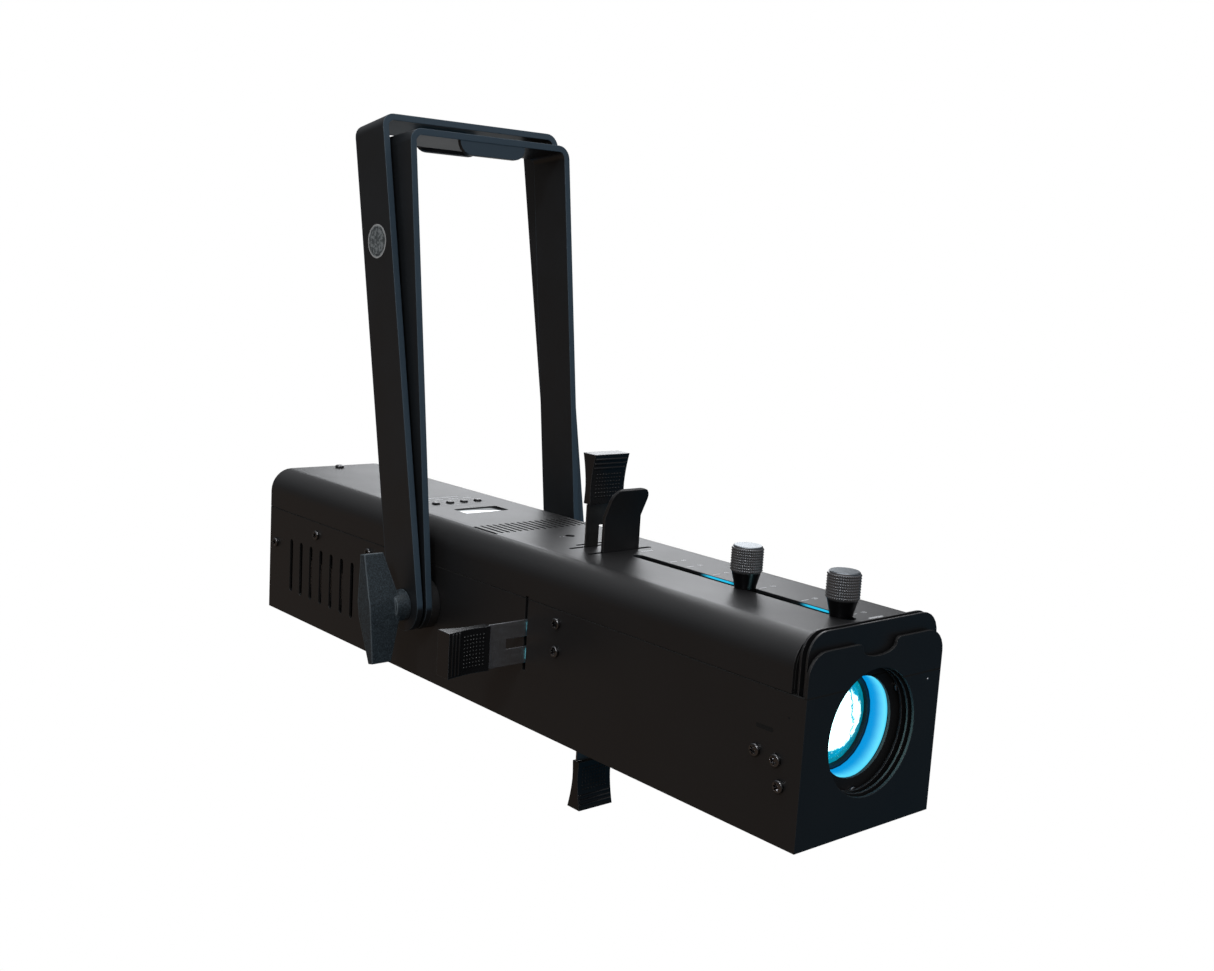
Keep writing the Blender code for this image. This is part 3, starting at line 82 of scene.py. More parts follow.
class Socket:
    """One output of a shader node.  Python's arithmetic on it adds Math nodes."""

    def __init__(self, tree, output=None):
        self.tree = tree
        self.output = output

    def node(self, kind, settings, values, output=0):
        """Add any node: its settings come first, then a value or a Socket for each of its inputs."""
        made = self.tree.nodes.new(kind)
        for name, value in settings.items():
            if name == "stops":
                ramp = made.color_ramp
                while len(ramp.elements) < len(value):
                    ramp.elements.new(1.0)
                for element, (place, colour) in zip(ramp.elements, value):
                    element.position = place
                    element.color = colour
            else:
                setattr(made, name, value)
        for name, value in values.items():
            if isinstance(value, Socket):
                self.tree.links.new(value.output, made.inputs[name])
            else:
                made.inputs[name].default_value = value
        return Socket(self.tree, made.outputs[output])

    def maths(self, operation, first, second=0.0):
        return self.node("ShaderNodeMath", {"operation": operation}, {0: first, 1: second})

    def __add__(self, other):
        return self.maths("ADD", self, other)

    def __radd__(self, other):
        return self.maths("ADD", other, self)

    def __sub__(self, other):
        return self.maths("SUBTRACT", self, other)

    def __rsub__(self, other):
        return self.maths("SUBTRACT", other, self)

    def __mul__(self, other):
        return self.maths("MULTIPLY", self, other)

    def __truediv__(self, other):
        return self.maths("DIVIDE", self, other)

    def root(self):
        return self.maths("SQRT", self)

    def size(self):
        return self.maths("ABSOLUTE", self)

    def ramp(self, low, high):
        """0 below low, 1 above high and a smooth rise between them."""
        return self.node("ShaderNodeMapRange", {"interpolation_type": "SMOOTHSTEP"},
                         {"Value": self, "From Min": low, "From Max": high})

    def mix(self, first, second):
        """From one colour to another by this mask."""
        return self.node("ShaderNodeMix", {"data_type": "RGBA"}, {"Factor": self, "A": first, "B": second}, 2)

    def noise(self, scale, detail=2.0, roughness=0.5):
        return self.node("ShaderNodeTexNoise", {}, {"Vector": self, "Scale": scale, "Detail": detail,
                                                    "Roughness": roughness})

    def scaled(self, x, y, z):
        """The same place with each axis multiplied by its own number."""
        return self.node("ShaderNodeMapping", {}, {"Vector": self, "Scale": (x, y, z)})

    def axes(self):
        """The three parts of a vector."""
        parts = self.node("ShaderNodeSeparateXYZ", {}, {"Vector": self})
        owner = parts.output.node
        return [Socket(self.tree, owner.outputs[place]) for place in range(3)]


SURROUND_LOW_RIGHT = (0.150, 0.113, 0.088, 1)
SURROUND_LOW_LEFT = (0.020, 0.060, 0.095, 1)
SURROUND_LEVEL = (0.075, 0.077, 0.080, 1)
SURROUND_HIGH = (0.55, 0.56, 0.58, 1)
surround = bpy.data.worlds.new("studio_surround")
surround.use_nodes = True
surround.node_tree.nodes.clear()
sky = Socket(surround.node_tree)
heading = sky.node("ShaderNodeTexCoord", {}, {}, 0).axes()
low_glow = heading[1].ramp(-0.35, 0.35).mix(SURROUND_LOW_RIGHT, SURROUND_LOW_LEFT)
high_glow = heading[2].ramp(0.0, 1.0).mix(SURROUND_LEVEL, SURROUND_HIGH)
glow = heading[2].ramp(-0.12, 0.06).mix(low_glow, high_glow)
BACKDROP_WAY = Vector((-0.75, 0.66, -0.07)).normalized()
BACKDROP_WHITE = (0.62, 0.61, 0.60, 1)
towards_backdrop = (heading[0] * BACKDROP_WAY.x + heading[1] * BACKDROP_WAY.y
                    + heading[2] * BACKDROP_WAY.z).ramp(0.90, 0.97)
glow = (towards_backdrop * heading[2].ramp(-0.005, -0.04)).mix(glow, BACKDROP_WHITE)
camera_sees = sky.node("ShaderNodeLightPath", {}, {}, 0)
seen = camera_sees.mix(glow, (1, 1, 1, 1))
light = sky.node("ShaderNodeBackground", {}, {"Color": seen, "Strength": 1.0})
ending = surround.node_tree.nodes.new("ShaderNodeOutputWorld")
surround.node_tree.links.new(light.output, ending.inputs["Surface"])
bpy.context.scene.world = surround


def softbox(name, place, aim, size, watts, colour):
    """A square soft lamp that faces a point on the light."""
    bpy.ops.object.light_add(type="AREA", location=place)
    lamp = bpy.context.object
    lamp.name = name
    lamp.data.shape = "SQUARE"
    lamp.data.size = size
    lamp.data.energy = watts
    lamp.data.color = colour
    lamp.rotation_euler = (Vector(aim) - Vector(place)).to_track_quat("-Z", "Y").to_euler()


MIDDLE = (0.10, 0.0, -0.26)
softbox("overhead", (0.0, 0.3, 2.2), MIDDLE, 2.4, 34, (1.0, 1.0, 1.0))
softbox("behind_left", (-1.7, 1.5, 0.75), MIDDLE, 1.2, 15, (0.95, 0.97, 1.0))
softbox("front_right", (1.6, -1.9, 0.9), MIDDLE, 1.0, 6, (1.0, 0.98, 0.96))
softbox("front_low", (2.2, 0.2, -0.1), MIDDLE, 0.8, 0.8, (0.80, 0.92, 1.0))
softbox("sparkle", (0.9, -1.5, 0.9), MIDDLE, 0.22, 7.0, (0.98, 0.99, 1.0))

# ---- Camera
# A long-ish lens a little above the light's top, ahead of its right-hand side and rolled by a
# few degrees, so the housing runs away to the upper left.
EYE = Vector((0.761623, -0.521540, -0.075953))
AZIMUTH, ELEVATION, ROLL = math.radians(48.886), math.radians(9.178), math.radians(3.448)
back = Vector((math.sin(AZIMUTH) * math.cos(ELEVATION), -math.cos(AZIMUTH) * math.cos(ELEVATION),
               math.sin(ELEVATION)))
level_right = Vector((0, 0, 1)).cross(back).normalized()
level_up = back.cross(level_right)
right = math.cos(ROLL) * level_right + math.sin(ROLL) * level_up
up = math.cos(ROLL) * level_up - math.sin(ROLL) * level_right
bpy.ops.object.camera_add(location=EYE)
camera = bpy.context.object
camera.matrix_world = Matrix.Translation(EYE) @ Matrix((right, up, back)).transposed().to_4x4()
camera.data.sensor_width = 36.0
camera.data.lens = 41.41
bpy.context.scene.camera = camera

# ---- Housing: lower tray and top cover
# Two folded sheet-steel shells with a satin black powder coat: a tray with the front plate
# turned up at its end, and a cover with large round corners that laps inside the tray's walls.
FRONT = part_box("lower_housing")[1].x
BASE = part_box("lower_housing")[0].z
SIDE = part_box("lower_housing")[1].y
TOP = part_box("top_cover")[1].z
COAT_BLACK = (0.0105, 0.0105, 0.0112, 1)
COAT_WORN = (0.020, 0.020, 0.021, 1)


def spot(x, y, z):
    """A point given by its distance ahead of the front plate, across, and above the base."""
    return Vector((FRONT + x, y, BASE + z))


def new_finish(name):
    """An empty material, and a Socket with each point's place on the object."""
    material = bpy.data.materials.new(name)
    material.use_nodes = True
    material.node_tree.nodes.clear()
    return material, Socket(material.node_tree).node("ShaderNodeTexCoord", {}, {}, 3)


def close_finish(material, values, bump=None, strength=0.2, distance=0.0002, round_edge=0.0, painted_edge_highlight=None):
    """End a material in one Principled shader, over a bump and rounded edges if they are given.

    The last argument, if given, is the paler colour of a painted highlight on the rounded edges.
    """
    start = Socket(material.node_tree)
    values = dict(values)
    normal = None
    if round_edge:
        normal = start.node("ShaderNodeBevel", {"samples": 6}, {"Radius": round_edge})
    if painted_edge_highlight:
        # Painted highlight: the rounded edges are lightened towards the given colour.
        flat = start.node("ShaderNodeNewGeometry", {}, {}, 1)
        turned_away = 1 - start.node("ShaderNodeVectorMath", {"operation": "DOT_PRODUCT"},
                                     {0: normal, 1: flat}, 1)
        values["Base Color"] = (turned_away.ramp(0.01, 0.16) * 0.8).mix(values["Base Color"], painted_edge_highlight)
    if bump is not None:
        under = {"Height": bump, "Strength": strength, "Distance": distance}
        if normal is not None:
            under["Normal"] = normal
        normal = start.node("ShaderNodeBump", {}, under)
    if normal is not None:
        values["Normal"] = normal
    shader = start.node("ShaderNodeBsdfPrincipled", {}, values)
    ending = material.node_tree.nodes.new("ShaderNodeOutputMaterial")
    material.node_tree.links.new(shader.output, ending.inputs["Surface"])
    return material


SEAM_DROP, SEAM_SHADE = 0.027, 0.0006
SEAM_BLACK = (0.0006, 0.0006, 0.0006, 1)


def powder_coat(name, black, worn, roughness, painted_edge_highlight=(0.035, 0.037, 0.040, 1)):
    """Baked powder: a fine orange peel, faint cloudy gloss and a few paler rubbed flecks.

    Every piece with this coat has a thin dark band at the height of the seam between the cover
    and the tray, where the light doesn't reach.
    """
    material, place = new_finish(name)
    peel = place.noise(1500.0, 3.0, 0.6)
    cloud = place.noise(22.0, 3.0, 0.55)
    flecks = place.noise(420.0, 4.0, 0.7).ramp(0.66, 0.80) * place.noise(31.0, 2.0).ramp(0.50, 0.70)
    colour = (flecks * 0.7 + cloud * 0.25).mix(black, worn)
    seam = (place.axes()[2] - (TOP - SEAM_DROP)).size().ramp(SEAM_SHADE, SEAM_SHADE * 0.5)
    colour = seam.mix(colour, SEAM_BLACK)
    # The rounded edges get a painted highlight in the last colour.
    return close_finish(material, {"Base Color": colour, "Roughness": roughness + (cloud - 0.5) * 0.10
                                   + seam * 0.4},
                        bump=peel, strength=0.16, distance=0.00012, round_edge=0.0004, painted_edge_highlight=painted_edge_highlight)


MERGE_WITHIN, SHARP_FROM, FLAT_WEIGHT = 0.000002, math.radians(28), 80


def dress(node, finish):
    """Give a CAD piece its finish, with round faces shaded round and flat ones flat."""
    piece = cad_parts[node]
    piece.data.materials.clear()
    piece.data.materials.append(finish)
    piece.data.shade_smooth()
    piece.modifiers.new("Merge", "WELD").merge_threshold = MERGE_WITHIN
    split = piece.modifiers.new("Sharp edges", "EDGE_SPLIT")
    split.split_angle = SHARP_FROM
    piece.modifiers.new("Flat faces", "WEIGHTED_NORMAL").weight = FLAT_WEIGHT


shell_coat = powder_coat("shell_coat", COAT_BLACK, COAT_WORN, 0.42)
for node in ("lower_housing", "top_cover", "rear_panel"):
    dress(node, shell_coat)

# ---- Yokes
# Two flat steel bars, each bent into a U and nested one inside the other, with the same coat in
# a bluer black.  The long edges carry a bluish band of painted highlight, and the rounded corners a brighter
# one.
YOKE_BLACK = (0.0082, 0.0085, 0.0090, 1)
# Painted highlights: a bluish band on the long edges, and a brighter one on the rounded corners.
YOKE_EDGE_HIGHLIGHT = (0.050, 0.085, 0.120, 1)
YOKE_CORNER_HIGHLIGHT = (0.085, 0.13, 0.17, 1)
YOKE_HALF_WIDTH = 0.01625
OUTER_LEAN, INNER_LEAN = math.radians(11.3), math.radians(7.4)


def yoke_coat(name, lean):
    """The coat, with bands of painted highlight where a point lies near the bar's long edges.

    lean is the bar's tilt back from upright, about the line that joins its two feet.
    """
    foot = Vector(((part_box("left_spacer")[0].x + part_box("left_spacer")[1].x) / 2, 0,
                   (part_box("left_spacer")[0].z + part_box("left_spacer")[1].z) / 2))
    material, place = new_finish(name)
    x, _, z = place.axes()
    across = (x - foot.x) * math.cos(lean) + (z - foot.z) * math.sin(lean)
    # Painted highlight: a paler bluish band along the bar's long edges.
    edge = across.size().ramp(YOKE_HALF_WIDTH - 0.0005, YOKE_HALF_WIDTH - 0.0001)
    cloud = place.noise(30.0, 3.0, 0.55)
    colour = (edge * 0.75 + cloud * 0.12).mix(YOKE_BLACK, YOKE_EDGE_HIGHLIGHT)
    return close_finish(material, {"Base Color": colour, "Roughness": 0.40 + (cloud - 0.5) * 0.10},
                        bump=place.noise(1400.0, 3.0, 0.6), strength=0.16, distance=0.00012,
                        round_edge=0.0006, painted_edge_highlight=YOKE_CORNER_HIGHLIGHT)


dress("outer_yoke", yoke_coat("outer_yoke_coat", OUTER_LEAN))
dress("inner_yoke", yoke_coat("inner_yoke_coat", INNER_LEAN))

# ---- Casing screws
# Pan-head machine screws, black and oiled, with a six-lobed drive: eight on each side, one on
# the cover and three on the bulkhead.  One is made here, and the others are copies of it.
HEAD_RADIUS, HEAD_HEIGHT = 0.0032, 0.0019
HEAD_ROUND = 0.0009
DRIVE_RADIUS, DRIVE_DEPTH, DRIVE_LOBE = 0.00135, 0.0011, 0.17
SCREW_STEPS = 36


def only(piece):
    """Select one object and nothing else."""
    bpy.ops.object.select_all(action="DESELECT")
    piece.select_set(True)
    bpy.context.view_layer.objects.active = piece


def edit(piece):
    """Open a piece in edit mode and hand back its bmesh with nothing selected."""
    only(piece)
    bpy.ops.object.mode_set(mode="EDIT")
    bpy.ops.mesh.select_all(action="DESELECT")
    return bmesh.from_edit_mesh(piece.data)


def close(piece, smooth_below=35):
    """Leave edit mode with the piece's place put into its mesh and its round faces smooth."""
    if bpy.context.object and bpy.context.object.mode == "EDIT":
        bpy.ops.object.mode_set(mode="OBJECT")
    only(piece)
    bpy.ops.object.transform_apply(location=True, rotation=True, scale=True)
    bpy.ops.object.shade_smooth_by_angle(angle=math.radians(smooth_below))


def pick_faces(mesh, wanted):
    """Select the faces that a test on their middle and normal wants."""
    for face in mesh.faces:
        face.select_set(bool(wanted(face.calc_center_median(), face.normal)))


def belong(piece, body, finish):
    """Give a new piece its finish and its slot, and let it ride on a body."""
    piece.data.materials.clear()
    piece.data.materials.append(finish)
    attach(piece, body)


def oiled_steel():
    material, place = new_finish("oiled_black_steel")
    smear = place.noise(900.0, 3.0)
    return close_finish(material, {"Base Color": (0.15, 0.15, 0.155, 1), "Metallic": 1.0,
                                   "Roughness": 0.10 + smear * 0.10}, round_edge=0.00015)


black_screw = oiled_steel()
bpy.ops.mesh.primitive_cylinder_add(vertices=SCREW_STEPS, radius=HEAD_RADIUS, depth=HEAD_HEIGHT,
                                    location=(0, 0, HEAD_HEIGHT / 2))
screw_head = bpy.context.object
screw_head.name = "casing_screw"
mesh = edit(screw_head)
rim = [edge for edge in mesh.edges if all(v.co.z > 0 for v in edge.verts)]
for edge in rim:
    edge.select_set(True)
bpy.ops.mesh.bevel(offset=HEAD_ROUND, segments=4, profile=0.6)
mesh = bmesh.from_edit_mesh(screw_head.data)
pick_faces(mesh, lambda middle, normal: normal.z > 0.99)
bpy.ops.mesh.inset(thickness=HEAD_RADIUS - HEAD_ROUND - DRIVE_RADIUS)
mesh = bmesh.from_edit_mesh(screw_head.data)
for face in mesh.faces:
    if face.select:
        for corner in face.verts:
            lobes = 1 + DRIVE_LOBE * math.cos(6 * math.atan2(corner.co.y, corner.co.x))
            corner.co.x *= lobes
            corner.co.y *= lobes
bpy.ops.mesh.extrude_region_move(TRANSFORM_OT_translate={"value": (0, 0, -DRIVE_DEPTH)})
close(screw_head, 40)

FACING = {"top": Matrix.Identity(4), "left": Matrix.Rotation(-math.pi / 2, 4, "X"),
          "right": Matrix.Rotation(math.pi / 2, 4, "X"), "front": Matrix.Rotation(math.pi / 2, 4, "Y"),
          "rear": Matrix.Rotation(-math.pi / 2, 4, "Y")}


def place_copy(master, name, where, facing, body, finish, turn=0.0):
    """Copy a finished master with a mesh of its own, turned to face out of one side of the light."""
    copy = master.copy()
    copy.data = master.data.copy()
    copy.name = name
    bpy.context.scene.collection.objects.link(copy)
    copy.matrix_world = Matrix.Translation(where) @ FACING[facing] @ Matrix.Rotation(turn, 4, "Z")
    only(copy)
    bpy.ops.object.transform_apply(location=True, rotation=True, scale=True)
    belong(copy, body, finish)
    return copy


SIDE_SCREWS = ((-0.5045, 0.0493), (-0.4465, 0.0652), (-0.3777, 0.0664), (-0.1807, 0.0662),
               (-0.1805, 0.0504), (-0.0286, 0.0419), (-0.0123, 0.0290), (-0.0154, 0.0407))
for side, name in ((-1, "right"), (1, "left")):
    for number, (x, z) in enumerate(SIDE_SCREWS):
        piece = place_copy(screw_head, f"{name}_side_screw_{number + 1}", spot(x, side * SIDE, z), name,
                           "housing", black_screw, turn=0.7 * number)
        if number == len(SIDE_SCREWS) - 1:
            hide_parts(f"{name}_front_screw")
low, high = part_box("top_rear_screw")
rear_screw = place_copy(screw_head, "cover_rear_screw", Vector(((low.x + high.x) / 2, 0, TOP)), "top",
                        "housing", black_screw)
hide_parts("top_rear_screw")
BULKHEAD_FACE, BULKHEAD_SCREW_CIRCLE = -0.0095, 0.0330
BEAM_HEIGHT = 0.0495
BEAM = spot(0, 0, BEAM_HEIGHT)
for number in range(3):
    angle = math.radians(30 + 120 * number)
    where = Vector((FRONT + BULKHEAD_FACE, BULKHEAD_SCREW_CIRCLE * math.cos(angle),
                    BEAM.z + BULKHEAD_SCREW_CIRCLE * math.sin(angle)))
    place_copy(screw_head, f"bulkhead_screw_{number + 1}", where, "front", "housing",
               black_screw, turn=0.4 * number)

# ---- Sockets and screws of the rear panel
# A flanged power inlet, a fuse carrier and two round data sockets, all in smooth black plastic.
# Two small screws hold the inlet and each data socket.
def smooth_plastic(name, colour, roughness):
    material, place = new_finish(name)
    haze = place.noise(260.0, 3.0)
    # Its rounded edges get a painted highlight.
    return close_finish(material, {"Base Color": colour, "Roughness": roughness + (haze - 0.5) * 0.08},
                        bump=place.noise(2600.0, 2.0), strength=0.06, distance=0.00006, round_edge=0.0006,
                        painted_edge_highlight=(0.075, 0.080, 0.088, 1))


socket_plastic = smooth_plastic("socket_plastic", (0.016, 0.016, 0.017, 1), 0.30)
for node in ("power_inlet", "fuse_holder", "dmx_input", "dmx_output"):
    dress(node, socket_plastic)
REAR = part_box("rear_panel")[0].x
FLANGE = 0.0023
SMALL_SCREW = 0.55
for label, reach in (("power_inlet", (0.0165, 0.0)), ("dmx_input", (0.0103, 0.0127)),
                     ("dmx_output", (0.0103, 0.0127))):
    low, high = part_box(label)
    middle = (low + high) / 2
    for number, sign in enumerate((-1, 1)):
        where = Vector((REAR - FLANGE, middle.y + sign * reach[0], middle.z + sign * reach[1]))
        piece = place_copy(screw_head, f"{label}_screw_{number + 1}", where, "rear", "housing",
                           black_screw)
        piece.data.transform(Matrix.Translation(where) @ Matrix.Scale(SMALL_SCREW, 4)
                             @ Matrix.Translation(-where))
bpy.data.objects.remove(screw_head)

# ---- Shutter blades
# Four thin blades of bare rolled steel with a fine grain from the roll.  The top and bottom ones
# are browned by heat.  The rods, pivot inserts and gobo disc share the paler steel.
def rolled_steel(name, colour, roughness):
    material, place = new_finish(name)
    grain = place.scaled(900.0, 70.0, 900.0).noise(1.0, 3.0)
    stain = place.noise(60.0, 3.0, 0.6)
    tint = (stain.ramp(0.48, 0.75) * 0.35).mix(colour, (0.30, 0.28, 0.26, 1))
    return close_finish(material, {"Base Color": tint, "Metallic": 1.0,
                                   "Roughness": roughness + (grain - 0.5) * 0.16 + (stain - 0.5) * 0.1},
                        bump=grain, strength=0.10, distance=0.00005, round_edge=0.0002)


blade_steel = rolled_steel("blade_steel", (0.62, 0.64, 0.68, 1), 0.40)
browned_steel = rolled_steel("browned_blade_steel", (0.17, 0.165, 0.16, 1), 0.44)
for side, finish in (("top", browned_steel), ("bottom", browned_steel), ("left", blade_steel),
                     ("right", blade_steel)):
    dress(f"{side}_shutter_blade", finish)
for node in ("left_guide_rod", "right_guide_rod", "left_pivot_insert", "right_pivot_insert", "gobo_disc"):
    dress(node, blade_steel)

# ---- Shutter grips
# Heat-proof moulded grips, one on the end of each blade.  They flare towards the fingertip, with
# three ribs across the flare and a pad of small round studs nearer to the housing.
grip_plastic = smooth_plastic("grip_plastic", (0.0085, 0.0088, 0.0100, 1), 0.24)
GRIP_AXES = {"top": Vector((0, 0, 1)), "bottom": Vector((0, 0, -1)), "left": Vector((0, 1, 0)),
             "right": Vector((0, -1, 0))}
STUD_ROWS, STUD_COLUMNS, STUD_PITCH, STUD_SIZE = 7, 9, 0.00215, 0.00062
RIB_COUNT, RIB_PITCH, RIB_RADIUS = 3, 0.0026, 0.00085
GRIP_WAIST, GRIP_END, GRIP_FROM = 0.0022, 0.0055, 0.30
GRIP_SWELL, GRIP_FOOT = 1.7, 0.0006


def grip_half_depth(share):
    """Half the grip's thickness at a share of its length, as it is moulded."""
    swell = max(0.0, share - GRIP_FROM) / (1 - GRIP_FROM)
    foot = GRIP_FOOT * max(0.0, GRIP_FROM - share) / GRIP_FROM
    return GRIP_WAIST + (GRIP_END - GRIP_WAIST) * swell ** GRIP_SWELL + foot


bpy.ops.mesh.primitive_uv_sphere_add(segments=8, ring_count=5, radius=STUD_SIZE)
stud = bpy.context.object
stud_mesh = stud.data.copy()
bpy.data.objects.remove(stud)
for side, outward in GRIP_AXES.items():
    node = f"{side}_shutter_grip"
    dress(node, grip_plastic)
    low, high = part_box(node)
    middle = (low + high) / 2
    length = abs((high - low).dot(outward))
    inner = middle - outward * length / 2
    sideways = outward.cross(Vector((1, 0, 0)))
    width = abs((high - low).dot(sideways))
    studs = bmesh.new()
    for face in (-1, 1):
        for row in range(STUD_ROWS):
            share = (0.0042 + row * STUD_PITCH) / length
            for column in range(STUD_COLUMNS):
                across = (column - (STUD_COLUMNS - 1) / 2) * STUD_PITCH
                centre = (inner + outward * length * share + sideways * across
                          + Vector((face * grip_half_depth(share), 0, 0)))
                start = len(studs.verts)
                studs.from_mesh(stud_mesh)
                studs.verts.ensure_lookup_table()
                bmesh.ops.translate(studs, vec=centre, verts=studs.verts[start:])
    pad_mesh = bpy.data.meshes.new(f"{side}_grip_studs")
    studs.to_mesh(pad_mesh)
    studs.free()
    pad = bpy.data.objects.new(f"{side}_grip_studs", pad_mesh)
    bpy.context.scene.collection.objects.link(pad)
    close(pad, 80)
    belong(pad, f"{side}_shutter", grip_plastic)
    for face in (-1, 1):
        for rib in range(RIB_COUNT):
            share = 1 - (0.0030 + rib * RIB_PITCH) / length
            sunk = grip_half_depth(share) - RIB_RADIUS * 0.35
            centre = inner + outward * length * share + Vector((face * sunk, 0, 0))
            bpy.ops.mesh.primitive_cylinder_add(vertices=10, radius=RIB_RADIUS, depth=width - 0.0016,
                                                location=centre,
                                                rotation=sideways.to_track_quat("Z", "Y").to_euler())
            bar = bpy.context.object
            bar.name = f"{side}_grip_rib_{'rear' if face < 0 else 'front'}_{rib + 1}"
            edit(bar)
            bpy.ops.mesh.select_all(action="SELECT")
            bpy.ops.mesh.bevel(offset=0.00025, segments=2)
            close(bar, 50)
            belong(bar, f"{side}_shutter", grip_plastic)

# ---- Gobo holder, front bulkhead and colour frame
# Folded steel parts with the housing's coat.  The holder and the frame are pulled by hand, so
# their coat is a little smoother.  The bulkhead and the plates inside are duller.
inner_coat = powder_coat("inner_coat", (0.0095, 0.0095, 0.010, 1), COAT_WORN, 0.50)
# The last colour is a brighter painted highlight for the rounded edges.
handle_coat = powder_coat("handle_coat", COAT_BLACK, (0.028, 0.028, 0.030, 1), 0.36,
                          (0.10, 0.10, 0.105, 1))
for node in ("front_bulkhead", "lens_bay_plate", "gate_front_plate", "gate_rear_plate"):
    dress(node, inner_coat)
for node in ("gobo_holder", "gel_frame"):
    dress(node, handle_coat)

# ---- Spacers and friction washers
# Hard fibre rings that let the yokes turn without scraping each other's coat.
fibre = smooth_plastic("hard_fibre", (0.013, 0.013, 0.014, 1), 0.62)
for label in ("left", "right"):
    dress(f"{label}_spacer", fibre)
    dress(f"{label}_friction_washer", fibre)

# ---- Metal parts inside
# Aluminium behind the gate, bare or anodised black, and green circuit boards.  The fan and the
# menu buttons are moulded in the grips' plastic.
def aluminium(name, colour, roughness):
    material, place = new_finish(name)
    lines = place.scaled(2200.0, 60.0, 60.0).noise(1.0, 2.0)
    return close_finish(material, {"Base Color": colour, "Metallic": 1.0,
                                   "Roughness": roughness + (lines - 0.5) * 0.18},
                        bump=lines, strength=0.12, distance=0.00005, round_edge=0.0002)


bare_aluminium = aluminium("bare_aluminium", (0.55, 0.56, 0.58, 1), 0.36)
dark_aluminium = aluminium("black_anodised_aluminium", (0.018, 0.018, 0.019, 1), 0.45)
for node in ("condenser_barrel", "led_board", "power_supply"):
    dress(node, bare_aluminium)
dress("heatsink", dark_aluminium)
board_green, place = new_finish("circuit_board")
mottle = place.noise(420.0, 3.0).ramp(0.45, 0.6)
close_finish(board_green, {"Base Color": mottle.mix((0.010, 0.075, 0.035, 1), (0.02, 0.13, 0.06, 1)),
                           "Roughness": 0.38})
for node in ("control_board", "display_module"):
    dress(node, board_green)
for node in ("fan_frame", "fan_rotor"):
    dress(node, grip_plastic)
for number in range(4):
    dress(f"menu_button_{number + 1}", grip_plastic)

# ---- Focus knobs
# Turned aluminium thumb nuts, anodised dark.  Each has a tapered foot, a band of pressed knurl
# and a chamfered cap, and its stud reaches through the slot into a lens carriage.
KNOB_STEPS, KNURL_ROWS, KNURL_BITE = 44, 9, 0.00055
KNOB_RADIUS, FOOT_RADIUS, STUD_RADIUS = 0.0080, 0.0057, 0.0019
FOOT_HEIGHT, CAP_HEIGHT = 0.0089, 0.0011
CAP_FADE = (0.0221, 0.0224)


def lathe(name, profile, steps):
    """Turn a profile of radii and heights about the upright axis; the piece stays in edit mode."""
    radius, height = profile[0]
    bpy.ops.mesh.primitive_circle_add(vertices=steps, radius=radius, fill_type="NGON",
                                      location=(0, 0, height))
    piece = bpy.context.object
    piece.name = name
    only(piece)
    bpy.ops.object.transform_apply(location=True)
    mesh = edit(piece)
    for edge in mesh.edges:
        edge.select_set(True)
    for radius, height in profile[1:]:
        bpy.ops.mesh.extrude_edges_move()
        mesh = bmesh.from_edit_mesh(piece.data)
        for corner in mesh.verts:
            if corner.select:
                grow = radius / math.hypot(corner.co.x, corner.co.y)
                corner.co = (corner.co.x * grow, corner.co.y * grow, height)
        bmesh.update_edit_mesh(piece.data)
    bpy.ops.mesh.edge_face_add()
    bpy.ops.mesh.select_all(action="SELECT")
    bpy.ops.mesh.normals_make_consistent(inside=False)
    return piece


def knob_metal():
    material, place = new_finish("knob_metal")
    height = place.axes()[2] - TOP
    upper = height.ramp(FOOT_HEIGHT - 0.0008, FOOT_HEIGHT + 0.0004)
    cap = height.ramp(*CAP_FADE)
    wear = place.noise(500.0, 3.0)
    colour = upper.mix((0.016, 0.016, 0.018, 1), (0.20, 0.205, 0.215, 1))
    colour = cap.mix(colour, (0.15, 0.17, 0.19, 1))
    return close_finish(material, {"Base Color": colour, "Metallic": 0.85,
                                   "Roughness": 0.30 + (wear - 0.5) * 0.12}, round_edge=0.0001)


knob_finish = knob_metal()
for label in ("front_lens", "rear_lens"):
    low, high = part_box(f"{label}_knob")
    middle = (low + high) / 2
    foot = TOP + 0.0002
    knurl_top = high.z - CAP_HEIGHT
    knurl_foot = foot + FOOT_HEIGHT
    profile = [(STUD_RADIUS, low.z), (STUD_RADIUS, foot), (FOOT_RADIUS, foot),
               (FOOT_RADIUS + 0.0002, foot + 0.0014), (KNOB_RADIUS - 0.0004, knurl_foot - 0.0008)]
    for row in range(KNURL_ROWS + 1):
        profile.append((KNOB_RADIUS, knurl_foot + (knurl_top - knurl_foot) * row / KNURL_ROWS))
    profile += [(KNOB_RADIUS - 0.00035, knurl_top + 0.00012), (KNOB_RADIUS - 0.0003, high.z - 0.0005),
                (KNOB_RADIUS - 0.0008, high.z)]
    knob = lathe(f"{label}_knurled_knob", profile, KNOB_STEPS)
    bpy.ops.mesh.select_all(action="DESELECT")
    mesh = bmesh.from_edit_mesh(knob.data)
    pick_faces(mesh, lambda centre, normal: abs(normal.z) < 0.3 and knurl_foot < centre.z < knurl_top)
    bpy.ops.mesh.poke(offset=KNURL_BITE, use_relative_offset=False)
    bpy.ops.object.mode_set(mode="OBJECT")
    knob.location = (middle.x, 0, 0)
    close(knob, 24)
    belong(knob, f"{label}_knob", knob_finish)
    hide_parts(f"{label}_knob")

# ---- Lenses and the lit bore
# Two glass lenses in black anodised carriages.  The lamp is on, so the front glass shows the hot
# white image of the light engine and the wall of the carriage just ahead of it shines cyan.
LENS_EDGE_RADIUS = 0.0252


def beam_parts(place):
    """Offsets across and up from the beam's axis, and the distance from it, in lens radii."""
    ahead, across, up = place.axes()
    across = across / LENS_EDGE_RADIUS
    up = (up - BEAM.z) / LENS_EDGE_RADIUS
    away = (across * across + up * up).root()
    return ahead, across, up, away


